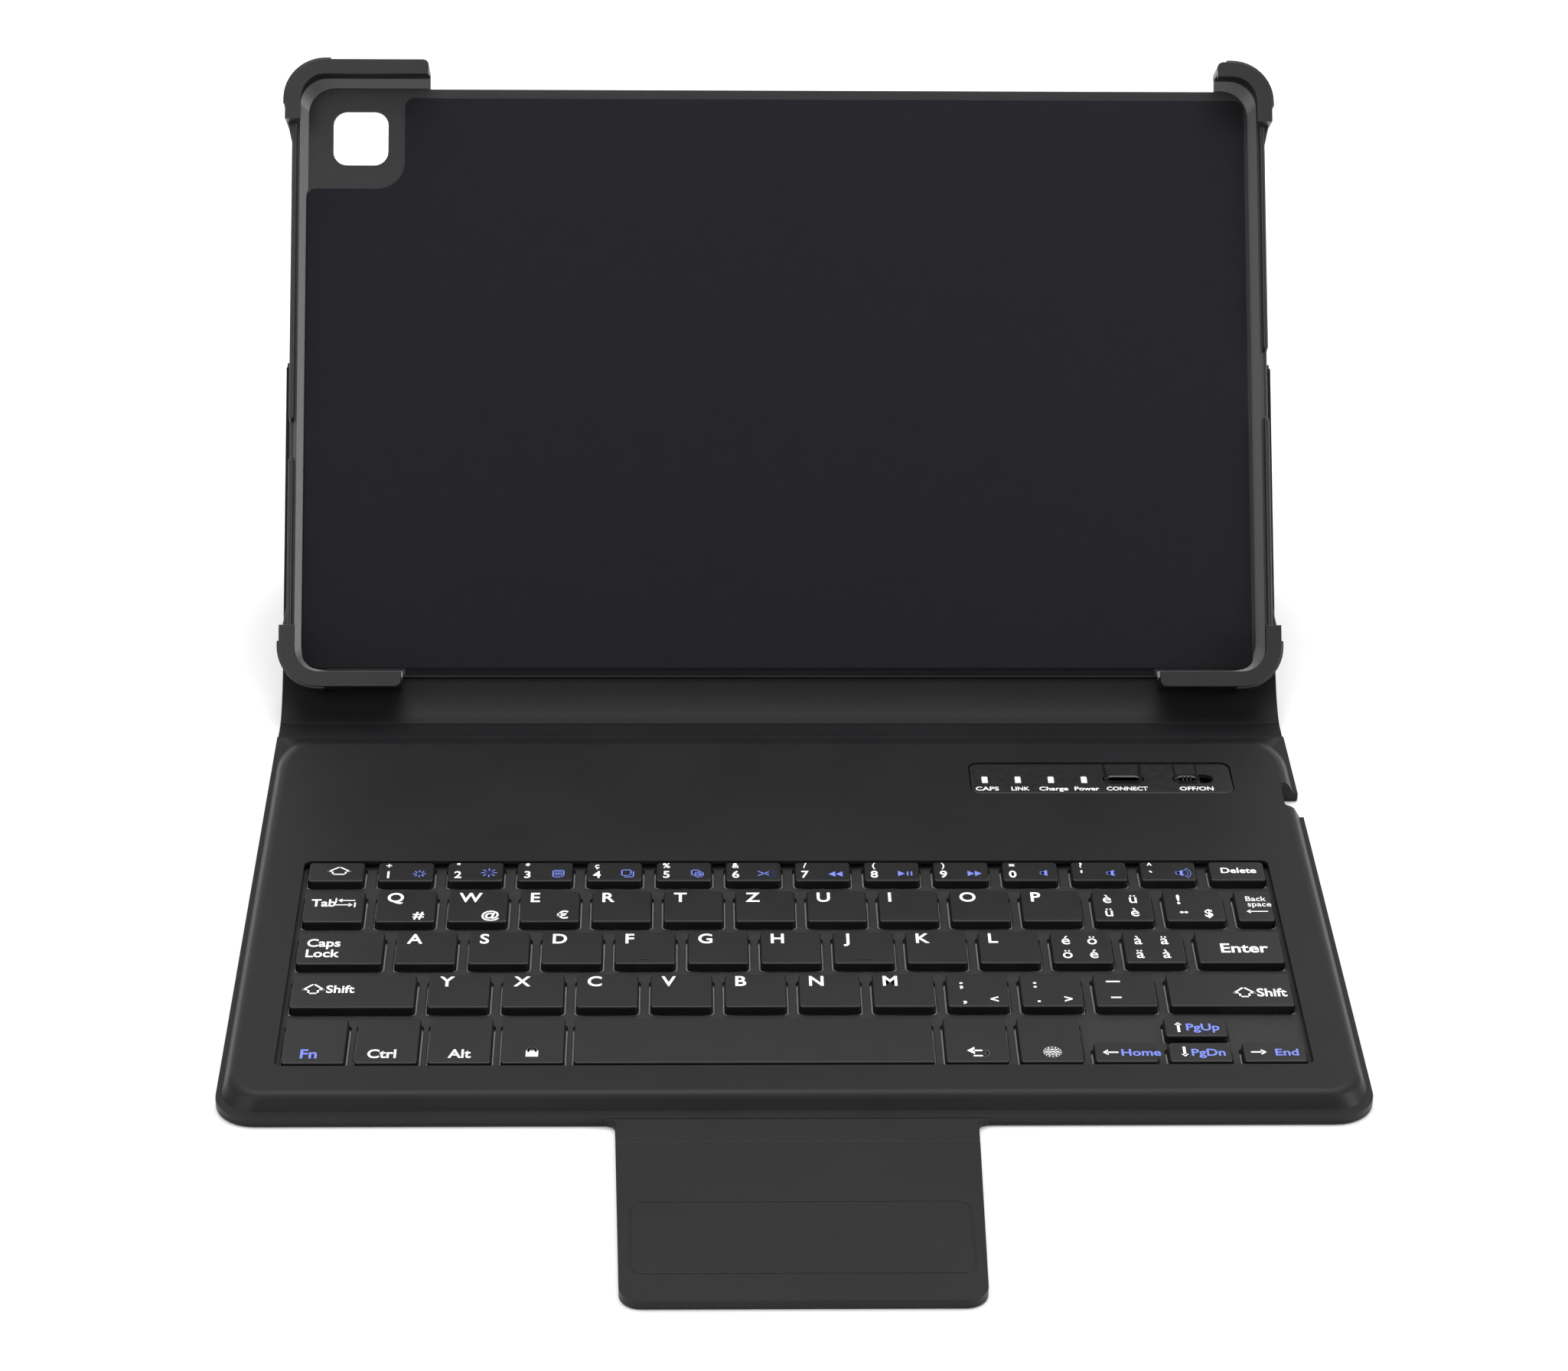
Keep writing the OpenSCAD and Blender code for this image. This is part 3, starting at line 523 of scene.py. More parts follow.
# %% [markdown]
# ## The keyboard half
# The deck is one moulded skin: a thin rim all round, a sloped edge, and a flat
# plateau that runs down to the spine in a longer ramp. It is drawn as a person
# would press it: a plate, its top face inset and pulled up, then edges rounded.

# %% Deck
RIM = FLAP_AT.z
RIM_SIDE, RIM_FRONT, RIM_REAR = 1.0, 2.7, 2.1
BEVEL, RAMP = 1.9, 6.0
CORNER, DECK_CORNER = 9.0, 7.0
SKIN_T = 0.9

deck = block("deck_cover", (-HALF_W, FRONT, DECK_LOW.z), (HALF_W, REAR, RIM))
round_edges(deck, lambda e: upright(e) and middle(e).y < 0, CORNER, 10)
pick(deck, "FACE", lambda f: f.normal.z > 0.9)
bpy.ops.mesh.inset(thickness=RIM_SIDE * MM, depth=0)
deselect()


def inner(part):
    """Whether a point of the deck's top lies inside the rim."""
    place = middle(part)
    return (
        abs(place.x) < HALF_W - 0.9 * RIM_SIDE
        and FRONT + 0.9 * RIM_SIDE < place.y < REAR - 0.9 * RIM_SIDE
        and place.z > RIM - 0.1
    )


def in_front(part):
    return inner(part) and middle(part).y < FRONT + CORNER + 3


def behind(part):
    return inner(part) and middle(part).y > REAR - CORNER - 3


push(deck, lambda v: in_front(v) and math.hypot(
    max(abs(v.co.x / MM) - (HALF_W - CORNER), 0), max(FRONT + CORNER - v.co.y / MM, 0)
) < CORNER - RIM_SIDE + 0.05, (0, RIM_FRONT - RIM_SIDE, 0))
push(deck, behind, (0, RIM_SIDE - RIM_REAR, 0))
pick(deck, "FACE", lambda f: f.normal.z > 0.9 and spread(f).x > HALF_W and spread(f).y > 100)
bpy.ops.mesh.extrude_region_move(TRANSFORM_OT_translate={"value": (0, 0, (DECK - RIM) * MM)})
deselect()
on_top = lambda v: v.co.z / MM > DECK - 0.1
for side in (-1, 1):
    push(deck, lambda v: on_top(v) and v.co.x * side > 0, (-side * BEVEL, 0, 0))
push(deck, lambda v: on_top(v) and v.co.y < 0, (0, BEVEL, 0))
push(deck, lambda v: on_top(v) and v.co.y > 0, (0, -RAMP, 0))
round_edges(
    deck,
    lambda e: spread(e).z > DECK - RIM - 0.1 and middle(e).y > 0 and spread(e).y > 2,
    DECK_CORNER, 8,
)
flat_top = lambda e: all(on_top(v) for v in e.verts)
round_edges(deck, lambda e: flat_top(e) and not e.is_boundary, 1.5, 5)
print("deck", len(deck.data.polygons))

# %% [markdown]
# The deck is hollow underneath and has three openings: the sunk key field, the
# place of the indicator panel, and the notch for the charging plug. Each one is
# a rounded block taken away with a Boolean modifier.

# %% Openings in the deck
PANEL_LOW, PANEL_HIGH = box_mm("indicator_panel")
# The plate reaches a little nearer the keys than its solid does
PANEL_DEEPER = 1.3
PANEL_LOW.y -= PANEL_DEEPER
SOCKET_LOW, SOCKET_HIGH = box_mm("charge_socket")
ROW_1, ROW_5 = box_mm("number_row_keys"), box_mm("bottom_row_keys")
FIELD_MARGIN, FIELD_MARGIN_Y, FIELD_R = 1.2, 0.7, 1.6
field_low = (ROW_1[0].x - FIELD_MARGIN, ROW_5[0].y - FIELD_MARGIN_Y)
field_high = (ROW_1[1].x + FIELD_MARGIN, ROW_1[1].y + FIELD_MARGIN_Y)
PANEL_FIT, PANEL_R = 0.15, 2.5
NOTCH_X, NOTCH_L, NOTCH_R = SOCKET_HIGH.x, 11.0, 1.0
notch_y = (SOCKET_LOW.y + SOCKET_HIGH.y) / 2
BED, HOLLOW_R = 7.7, 3.3
hollow_top = DECK - SKIN_T


def panel_cutter(name, low, high):
    return slab(
        name,
        (PANEL_LOW.x - PANEL_FIT, PANEL_LOW.y - PANEL_FIT, low),
        (PANEL_HIGH.x + PANEL_FIT, PANEL_HIGH.y + PANEL_FIT, high),
        PANEL_R,
    )


def notch_cutter(high):
    return slab(
        "notch", (NOTCH_X, notch_y - NOTCH_L / 2, -2),
        (HALF_W + 9, notch_y + NOTCH_L / 2, high), NOTCH_R, 4,
    )


cut(
    deck,
    slab(
        "hollow", (-HALF_W + BED, FRONT + BED + 0.15, -1),
        (HALF_W - BED, REAR - BED + 0.45, hollow_top), HOLLOW_R
    ),
    slab("field", (*field_low, 1), (*field_high, DECK + 2), FIELD_R),
    panel_cutter("panel_place", 1, DECK + 2),
    notch_cutter(DECK + 2),
)
soften(deck, 0.22, 2, angle=38, shade=34)
finished(deck, "keyboard", "cover_skin", "deck_skin", material=SKIN)

base = slab("base_cover", COVER_LOW, COVER_HIGH, 0)
round_edges(base, lambda e: upright(e) and middle(e).y < 0, CORNER, 10)
cut(base, notch_cutter(3))
soften(base, 0.25, 3)
finished(base, "keyboard", "cover_skin", "base_skin", material=SKIN)

# %% [markdown]
# ## Keys
# Each keycap is a rounded block whose top is a little smaller than its foot,
# with a soft rim that catches a thin line of light. One is modelled for each
# size, hollow underneath, and copied to every place that has that size.

# %% Keycaps
KEY_TOP = box_mm("key_q")[1].z
KEY_R, CAP_T, DRAFT = 1.0, 1.0, 0.16
stamps = {}


def keycap(size):
    """One keycap with its middle at the origin, modelled once for each size."""
    if size in stamps:
        return stamps[size]
    w, d, h = size
    cap = slab("cap_%d" % len(stamps), (-w / 2, -d / 2, -h), (w / 2, d / 2, 0), KEY_R, 5)
    for side in (-1, 1):
        push(cap, lambda v: v.co.z > -0.1 * MM and v.co.x * side > 0, (-side * DRAFT, 0, 0))
        push(cap, lambda v: v.co.z > -0.1 * MM and v.co.y * side > 0, (0, -side * DRAFT, 0))
    round_edges(cap, lambda e: all(v.co.z > -0.1 * MM for v in e.verts), 0.32, 3)
    pick(cap, "FACE", lambda f: f.normal.z < -0.9)
    bpy.ops.mesh.inset(thickness=CAP_T * MM, depth=0)
    bpy.ops.mesh.extrude_region_move(TRANSFORM_OT_translate={"value": (0, 0, (h - CAP_T) * MM)})
    deselect()
    stamps[size] = smooth(cap, 50)
    return cap


def solids_of(node):
    """The boxes of the separate solids in one node, in millimetres."""
    thing = frame["nodes"][node]
    owner, home = {}, {}

    def root(a):
        while owner[a] != a:
            a = owner[a]
        return a

    for face in thing.data.polygons:
        spots = [tuple(round(c, 6) for c in thing.data.vertices[i].co) for i in face.vertices]
        for spot in spots:
            owner.setdefault(spot, spot)
            owner[root(spot)] = root(spots[0])
    for spot in owner:
        home.setdefault(root(spot), []).append(spot)
    boxes = [
        (Vector(map(min, zip(*spots))) / MM, Vector(map(max, zip(*spots))) / MM)
        for spots in home.values()
    ]
    return sorted(boxes, key=lambda b: (round(b[0].x), -b[0].y))


LETTERS = [
    n for n in frame["nodes"] if n.startswith("key_") and n not in ("key_frame", "key_space")
]
ROWS = ["number_row", "tab_row", "caps_row", "shift_row", "bottom_row"]
key_boxes = {n: [box_mm(n)] for n in [*LETTERS, "key_space"]}
key_boxes.update({row: solids_of(row + "_keys") for row in ROWS})
letter_name = lambda node: node.removesuffix("_letter")

for node, boxes in key_boxes.items():
    caps = []
    for low, high in boxes:
        size = tuple(round(v, 2) for v in high - low)
        spot = (low + high) / 2
        caps.append(copy_of(keycap(size), "cap", (spot.x, spot.y, high.z)))
    body = node if node in ROWS else "space_bar" if node == "key_space" else letter_name(node)
    cap = join("cap_" + letter_name(node), caps)
    finished(cap, body, "key_plastic", node + "_keys" if node in ROWS else node, material=KEYS)
delete(*stamps.values())
print(sum(len(b) for b in key_boxes.values()), "keys in", len(stamps), "sizes")

# %% [markdown]
# The frame between the keys is a plate with an opening for every key. All the
# cutters are joined into one before the Boolean, which is quicker than one cut
# for each key.

# %% Frame between the keys
KEY_CLEAR, RIB_T = 0.35, 0.8
rib_top = KEY_TOP - (ROW_1[1].z - ROW_1[0].z) + 0.1
ribs_plate = block(
    "key_ribs",
    (field_low[0] - 1.4, field_low[1] - 1.0, rib_top - RIB_T),
    (field_high[0] + 1.4, field_high[1] + 0.8, rib_top),
)
windows = []
for boxes in key_boxes.values():
    for low, high in boxes:
        windows.append(slab(
            "window",
            (low.x - KEY_CLEAR, low.y - KEY_CLEAR, 0),
            (high.x + KEY_CLEAR, high.y + KEY_CLEAR, 8), KEY_R + KEY_CLEAR, 4,
        ))
cut(ribs_plate, join("windows", windows))
soften(ribs_plate, 0.12, 2)
finished(ribs_plate, "keyboard", "black_plastic", "key_frame", material=RIBS)

# %% [markdown]
# ## Soft sheets
# The spine and the flap are plain sheets of padded skin. Each one is drawn as a
# person would draw it: one narrow face, whose far edge is pulled out again and
# again along the sheet's path. Solidify then gives it its thickness.
# A sheet that crosses a crease has no body of its own, and the cover is in lengths that meet on
# flat ground.

# %% Sheets along a path


def sheet_along(name, path, widths, thick):
    """A sheet whose upper face follows (y, z) points, with a half width at each."""
    deselect()
    bpy.ops.mesh.primitive_plane_add(size=1, location=(0, 0, 0))
    thing = bpy.context.object
    thing.name = thing.data.name = name
    activate(thing)
    bpy.ops.object.mode_set(mode="EDIT")
    bpy.ops.mesh.select_mode(type="VERT")
    bpy.ops.mesh.select_all(action="DESELECT")
    mesh = bmesh.from_edit_mesh(thing.data)
    ends = sorted(mesh.verts, key=lambda v: (v.co.y, v.co.x))
    spots = [
        (-widths[0], *path[0]), (widths[0], *path[0]), (-widths[1], *path[1]),
        (widths[1], *path[1])
    ]
    for vert, spot in zip(ends, spots):
        vert.co = Vector(spot) * MM
    for vert in ends[2:]:
        vert.select_set(True)
    mesh.select_flush_mode()
    bmesh.update_edit_mesh(thing.data)
    for before, after, wide, wider in zip(path[1:], path[2:], widths[1:], widths[2:]):
        step = Vector((0, after[0] - before[0], after[1] - before[1])) * MM
        bpy.ops.mesh.select_mode(type="EDGE")
        bpy.ops.mesh.extrude_region_move(TRANSFORM_OT_translate={"value": step})
        bpy.ops.transform.resize(value=(wider / wide, 1, 1), center_override=(0, 0, 0))
    bpy.ops.mesh.select_all(action="SELECT")
    bpy.ops.mesh.normals_make_consistent(inside=False)
    deselect()
    if sum(f.normal.z for f in thing.data.polygons) < 0:
        thing.data.flip_normals()
    modify(thing, "SOLIDIFY", thickness=thick * MM, offset=-1, use_even_offset=True)
    return thing


def straight(start, end, count):
    return [
        tuple(a + (b - a) * n / count for a, b in zip(start, end)) for n in range(count + 1)
    ]


# %% [markdown]
# Lying open, the spine stays almost flat on the table and then curls up into
# the back cover in one soft bend, where the exact solid has a sharp crease.

# %% Spine and lower back cover
SEAM_Y, SEAM_Z = 88.0, 1.98
SKIN_EDGE, SKIN_INSET, LEAVE = 0.35, 0.1, 0.05
spine_path = [
    (REAR + 0.06, PANEL_T), (82.4, PANEL_T), (83.6, PANEL_T), (85, 1.82), (86.5, 1.86),
    (SEAM_Y, SEAM_Z),
]
spine_front = sheet_along(
    "spine_cover", spine_path, [HALF_W - SKIN_INSET] * len(spine_path), PANEL_T - LEAVE
)
soften(spine_front, SKIN_EDGE, 2, angle=60, shade=60)
# Its finish is the duller copy of the skin, painted shade for the tray's shadow
finished(spine_front, None, "cover_skin", "spine_skin", material=SHADED_SKIN)
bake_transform(spine_front)


def on_back(v, w=0.0):
    """The (y, z) of a place on the back cover."""
    spot = ON_TRAY @ (Vector((0, v, w)) * MM) / MM
    return spot.y, spot.z


curl = [
    (SEAM_Y, SEAM_Z), (89.5, 2.28), (91, 2.78), (92.5, 3.5),
    (94, 4.42), (95.5, 5.5), (97, 6.75), (98.5, 8.25),
]
back_path = curl + straight(on_back(6), on_back(STAND_V - 0.4), 16)
back_cover = sheet_along(
    "back_cover", back_path, [HALF_W - SKIN_INSET] * len(back_path), PANEL_T - LEAVE
)
soften(back_cover, SKIN_EDGE, 2, angle=60, shade=60)
# Its finish is the duller copy of the skin, painted shade for the tray's shadow
finished(back_cover, None, "cover_skin", "back_skin", material=SHADED_SKIN)
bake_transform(back_cover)

# %% [markdown]
# The flap is widest at its root, where it grows out of the front edge with a
# small fillet each side. Its tip has round corners, and the outline of the
# stiffener inside is pressed into its skin.

# %% Flap
FLAP_T = RIM
FLAP_END = box_mm("flap_tip")[0].y
root_half = box_mm("flap_bridge")[1].x
tip_half = 37.25
FLAP_SEAM = FRONT - 9.0
PRESS_FROM, PRESS_TO, PRESS_IN = FRONT - 54.5, FRONT - 29.8, 1.8
FLAP_EDGE, FLAP_CORNER, FOLD_HALF = 0.4, 4.5, 1.7


def flap_half(y):
    return root_half + (tip_half - root_half) * (FRONT - y) / (FRONT - FLAP_END)


FILLET = 2.4
root_ys = [FRONT + 0.04] + [
    FRONT - FILLET * (1 - math.cos(a)) for a in (0.5, 0.8, 1.1, 1.35, math.pi / 2)
]
root_ys += [FRONT - 4, FRONT - 6, FLAP_SEAM]
root_halves = []
for y in root_ys:
    turn = max(0, min(1, (FRONT - y) / FILLET)) ** 0.5 * math.pi / 2
    root_halves.append(flap_half(y) + FILLET * (1 - math.sin(turn)))
flap_root = sheet_along(
    "flap_root", [(y, FLAP_T) for y in reversed(root_ys)], list(reversed(root_halves)),
    FLAP_T - LEAVE,
)
soften(flap_root, 0.45, 3, angle=60, shade=60)
finished(flap_root, None, "cover_skin", "flap_bridge", material=SKIN)
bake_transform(flap_root)

tip_ys = [FLAP_SEAM, FRONT - 12, FRONT - 14]
tip_ys += [FOLD_AT.y + 2 - 0.5 * n for n in range(9)]
tip_ys += [FRONT - 24, FRONT - 40, FLAP_END]
tip_ys = sorted(set(tip_ys), reverse=True)
flap_end = sheet_along(
    "flap_cover", [(y, FLAP_T) for y in reversed(tip_ys)],
    [flap_half(y) for y in reversed(tip_ys)],
    FLAP_T - LEAVE,
)
round_edges(flap_end, lambda e: upright(e) and middle(e).y < FLAP_END + 0.5, FLAP_CORNER, 8)


def ring(name, low, high, wide, radius):
    """A flat frame, to press a line into a skin with."""
    outer = slab(name, low, high, radius, 6)
    return cut(outer, slab(
        "inner", (low[0] + wide, low[1] + wide, low[2] - 1),
        (high[0] - wide, high[1] - wide, high[2] + 1),
        radius - wide, 6,
    ))


LINE_W, LINE_DEEP = 0.5, 0.12
cut(flap_end, ring(
    "press", (-tip_half + PRESS_IN, PRESS_FROM, FLAP_T - LINE_DEEP),
    (tip_half - PRESS_IN, PRESS_TO, FLAP_T + 2),
    LINE_W, 3.0,
))
soften(flap_end, FLAP_EDGE, 3, angle=60, shade=50)
finished(flap_end, None, "cover_skin", "flap_tip", material=SKIN)
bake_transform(flap_end)

# %% [markdown]
# The kickstand is the upper part of the back cover, swung out on its crease. It
# is modelled folded flat, in the back cover's own directions, with a window
# for the camera and a pressed border, and then turned out to where it stands.

# %% Kickstand
TRAY_PARTS = frame["nodes"]["tray_shell"]
flat = [TO_TRAY @ v.co / MM for v in TRAY_PARTS.data.vertices]
TRAY_LOW = Vector([min(p[i] for p in flat) for i in range(3)])
TRAY_HIGH = Vector([max(p[i] for p in flat) for i in range(3)])
folded = [ON_STAND.inverted() @ v.co / MM for v in frame["nodes"]["stand_skin"].data.vertices]
STAND_END = max(p.y for p in folded)
STAND_FACE = max(p.z for p in folded)
CAMERA_W, CAMERA_R = 13.9, 3.5
CAMERA_FROM_LEFT, CAMERA_FROM_TOP = 11.6, 11.4
BORDER_IN, BORDER_FROM_CREASE = 3.2, 3.5
camera_x = TRAY_LOW.x + CAMERA_FROM_LEFT + CAMERA_W / 2
camera_v = TRAY_HIGH.y - CAMERA_FROM_TOP - CAMERA_W / 2
print("tray", TRAY_LOW, TRAY_HIGH, "kickstand to", STAND_END, STAND_FACE)


def camera_hole(name, grow, low, high):
    half = CAMERA_W / 2 + grow
    return slab(
        name, (camera_x - half, camera_v - half, low), (camera_x + half, camera_v + half, high),
        CAMERA_R + grow, 6,
    )


stand = block(
    "kickstand_cover", (-HALF_W + SKIN_INSET, STAND_V + 0.5, -PANEL_T),
    (HALF_W - SKIN_INSET, STAND_END, STAND_FACE)
)
round_edges(stand, lambda e: upright(e) and middle(e).y > 150, CORNER, 10)
cut(
    stand,
    camera_hole("camera_window", 0.8, -5, 5),
    ring(
        "border", (-HALF_W + BORDER_IN, STAND_V + BORDER_FROM_CREASE, -PANEL_T - 2),
        (HALF_W - BORDER_IN, STAND_END - BORDER_IN, -PANEL_T + LINE_DEEP), LINE_W, CORNER - 3,
    ),
)
soften(stand, 0.35, 3, shade=50)
place(stand, ON_STAND)
finished(stand, "kickstand", "cover_skin", "stand_skin", material=SKIN)

# The crease is a strip of the outer skin that both parts share
CREASE_T, CREASE_L = 0.5, 1.6
CREASE_W = -PANEL_T + CREASE_T
crease_path = [
    on_back(STAND_V - CREASE_L, -PANEL_T + CREASE_T + 0.1),
    on_back(STAND_V - 0.7, CREASE_W), on_back(STAND_V - 0.3, CREASE_W),
]
beyond = []
for v in (0.3, 0.7, CREASE_L):
    spot = ON_STAND @ (Vector((0, STAND_V + v, CREASE_W)) * MM) / MM
    beyond.append((spot.y, spot.z))
crease = sheet_along("kickstand_crease", crease_path + beyond, [HALF_W - 0.25] * 6, CREASE_T)
smooth(crease, 80)
finished(crease, None, "cover_skin", material=SKIN)
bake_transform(crease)

# %% [markdown]
# ## The tray
# The tray is modelled lying flat, in the back cover's own directions: x across,
# y up the panel, z out of it. It is a thin floor, a low wall along each side,
# a sloped skirt inside the wall, and four tall clips that wrap the tablet's
# corners. The clips start as one full ring, and three cutters leave its corners.

# %% Sizes of the tray
CLIP_T, LIP_T, LIP_OVER = 2.65, 1.8, 1.2
CLIP_END_R, CLIP_EDGE, NOTCH_LEAN = 1.4, 0.38, 1.2
FLOOR_T, WALL_T, WALL_H = 1.2, 1.25, 5.2
TRAY_R = 10.15
TRAY_HALF = TRAY_HIGH.x
CLIP_H = TRAY_HIGH.z
CLIP_TOP_LEFT, CLIP_TOP_RIGHT, CLIP_BOTTOM, CLIP_SIDE, RUN_OUT = 36.2, 13.8, 30.4, 15.5, 5.2
BAY_HALF = TRAY_HALF - CLIP_T
WALL_OUT = BAY_HALF + WALL_T
FLOOR_FRONT, FLOOR_BACK = TRAY_LOW.y + 3.3, TRAY_HIGH.y - 5.4
SIDE_FROM, SIDE_TO = TRAY_LOW.y + CLIP_SIDE, TRAY_HIGH.y - CLIP_SIDE


def tray_outline(name, inset, low, high, steps=10):
    half = TRAY_HALF - inset
    return slab(
        name, (-half, TRAY_LOW.y + inset, low), (half, TRAY_HIGH.y - inset, high),
        TRAY_R - inset, steps,
    )


def between_clips(sides):
    """Cutters for the open lengths between the clips."""
    cutters = [
        block("gap", (-TRAY_HALF + CLIP_BOTTOM, -9, -1), (TRAY_HALF - CLIP_BOTTOM, 60, 12)),
        block(
            "gap", (-TRAY_HALF + CLIP_TOP_LEFT, 60.5, -1), (TRAY_HALF - CLIP_TOP_RIGHT, 180, 12)
        ),
    ]
    if sides:
        cutters.append(block("gap", (-140, SIDE_FROM, -1), (140, SIDE_TO, 12)))
    return cutters


# %% Corner clips
clips = tray_outline("clips", 0, 0, CLIP_H, 12)
EAR, EAR_L, EAR_DROP, EAR_FOOT = 0.5, 11.5, 0.35, 0.8
ears = slab(
    "ears", (-TRAY_HALF - EAR, TRAY_LOW.y - EAR, EAR_FOOT),
    (TRAY_HALF + EAR, TRAY_HIGH.y + EAR, CLIP_H - EAR_DROP),
    TRAY_R + EAR, 12,
)
cut(
    ears,
    block("gap", (-TRAY_HALF + EAR_L, -20, -1), (TRAY_HALF - EAR_L, 200, 12)),
    block("gap", (-150, TRAY_LOW.y + EAR_L, -1), (150, TRAY_HIGH.y - EAR_L, 12)),
)
cut(clips, ears, keep="UNION")
cut(
    clips,
    tray_outline("inner", CLIP_T, -1, CLIP_H - LIP_T),
    tray_outline("inner", CLIP_T + LIP_OVER, CLIP_H - LIP_T - 0.5, 12),
    *between_clips(True),
)


def at_clip_end(edge):
    """Whether an edge is an upright outer corner where a clip ends."""
    place = middle(edge)
    outside = abs(abs(place.x) - TRAY_HALF) < 0.01 or min(
        abs(place.y - TRAY_LOW.y), abs(place.y - TRAY_HIGH.y)
    ) < 0.01
    ends = (
        -TRAY_HALF + CLIP_TOP_LEFT, TRAY_HALF - CLIP_TOP_RIGHT,
        -TRAY_HALF + CLIP_BOTTOM, TRAY_HALF - CLIP_BOTTOM,
    )
    return upright(edge, 5) and outside and min(abs(place.x - x) for x in ends) < 0.01


round_edges(clips, at_clip_end, CLIP_END_R, 4)
soften(clips, CLIP_EDGE, 3, angle=40, shade=50)
print("clips", len(clips.data.polygons))

# %% Run-outs: each clip tapers down into the side wall
run_outs = []
for side in (-1, 1):
    for toward, place_v in ((1, SIDE_FROM), (-1, SIDE_TO)):
        ends = sorted((place_v - toward, place_v + toward * RUN_OUT))
        sides = sorted((side * (BAY_HALF + 0.2), side * (TRAY_HALF - 0.06)))
        piece = block("run_out", (sides[0], ends[0], 0.03), (sides[1], ends[1], WALL_H - 0.1))
        push(
            piece,
            lambda v: abs(middle(v).y - place_v) > RUN_OUT - 0.1 and abs(middle(v).x) > WALL_OUT,
            (side * (WALL_OUT - TRAY_HALF), 0, 0),
        )
        run_outs.append(soften(piece, 0.3, 2))

# %% Side walls with the port gap and a finger notch
walls = []
for side, gap_v, gap_l in ((-1, 64.7, 9.0), (1, 79.2, 16.8)):
    sides = sorted((side * BAY_HALF, side * WALL_OUT))
    wall = block("wall", (sides[0], SIDE_FROM - 1, 0.02), (sides[1], SIDE_TO + 1, WALL_H))
    notch = block(
        "gap", (sides[0] - 1, gap_v - gap_l / 2, WALL_H / 2),
        (sides[1] + 1, gap_v + gap_l / 2, WALL_H + 2)
    )
    push(
        notch, lambda v: middle(v).z > WALL_H and middle(v).y > gap_v, (0, NOTCH_LEAN, 0),
    )
    push(
        notch, lambda v: middle(v).z > WALL_H and middle(v).y < gap_v, (0, -NOTCH_LEAN, 0),
    )
    cut(wall, notch)
    walls.append(soften(wall, 0.42, 3, shade=60))

# %% Floor and skirt
tray_floor = tray_outline("tray_floor", 0.35, 0, FLOOR_T)
cut(
    tray_floor,
    block(
        "gap", (-TRAY_HALF + CLIP_BOTTOM - 0.4, -9, -1),
        (TRAY_HALF - CLIP_BOTTOM + 0.4, FLOOR_FRONT, 12)
    ),
    block(
        "gap", (-TRAY_HALF + CLIP_TOP_LEFT - 0.4, FLOOR_BACK, -1),
        (TRAY_HALF - CLIP_TOP_RIGHT + 0.4, 180, 12)
    ),
    block("gap", (-150, SIDE_FROM - 0.5, -1), (-WALL_OUT + 0.05, SIDE_TO + 0.5, 12)),
    block("gap", (WALL_OUT - 0.05, SIDE_FROM - 0.5, -1), (150, SIDE_TO + 0.5, 12)),
    camera_hole("hole", 0, -3, 3),
)
soften(tray_floor, 0.3, 2, shade=50)

SKIRT_TOP, SKIRT_FLAT, SKIRT_RUN = FLOOR_T + 1.5, 0.55, 2.1
skirt = tray_outline("skirt", CLIP_T - 0.3, FLOOR_T - 0.6, SKIRT_TOP)
bowl = tray_outline("bowl", CLIP_T + SKIRT_FLAT, FLOOR_T - 0.61, SKIRT_TOP + 0.01)
pick(bowl, "VERT", lambda v: middle(v).z < FLOOR_T)
half_w, half_h = BAY_HALF - SKIRT_FLAT, (TRAY_HIGH.y - TRAY_LOW.y) / 2 - CLIP_T - SKIRT_FLAT
lean = SKIRT_RUN * (SKIRT_TOP - FLOOR_T + 0.6) / (SKIRT_TOP - FLOOR_T)
bpy.ops.transform.resize(
    value=((half_w - lean) / half_w, (half_h - lean) / half_h, 1),
    center_override=(0, (TRAY_LOW.y + TRAY_HIGH.y) / 2 * MM, 0),
)
deselect()
cut(skirt, bowl, *between_clips(False))
# The skirt wears the lighter, shinier copy of the tray plastic: a painted highlight
wear(soften(skirt, 0.3, 3, angle=25, shade=60), SKIRT_SHEEN)
for piece in (tray_floor, clips, *walls, *run_outs):
    wear(piece, SHELL)

tray = join("tray", [tray_floor, clips, skirt] + walls + run_outs)
place(tray, ON_TRAY)
finished(tray, "tray", "black_plastic", "tray_shell")

# %% [markdown]
# The felt lining covers the floor except for a corner round the camera window.
# It is a thin slab with that corner cut away. Below it a strip of the tray stays in view between
# the lower clips; a second thin slab on it is painted very dark, as painted shade.

# %% Lining
LINING_LEFT, LINING_RIGHT, LINING_LOW, LINING_HIGH = -119.9, 118.8, 6.9, 153.4
LINING_T, LINING_R = 0.6, 2.4
BARE_X, BARE_V, BARE_R = -95.3, 129.8, 7.0
lining = slab(
    "lining", (LINING_LEFT, LINING_LOW, FLOOR_T - 0.02),
    (LINING_RIGHT, LINING_HIGH, FLOOR_T + LINING_T), LINING_R, 5,
)
bare = slab("bare", (-130, BARE_V, 0), (BARE_X, 170, 4), BARE_R, 8)
cut(lining, bare)
round_edges(
    lining,
    lambda e: upright(e) and abs(
        middle(e).x - LINING_LEFT
    ) < 0.1 and abs(middle(e).y - BARE_V) < 0.1
    or upright(e) and abs(middle(e).x - BARE_X) < 0.1 and abs(middle(e).y - LINING_HIGH) < 0.1,
    2.2, 5,
)
soften(lining, 0.22, 2, shade=50)
place(lining, ON_TRAY)
finished(lining, "tray", "felt", "tray_lining", material=FELT)
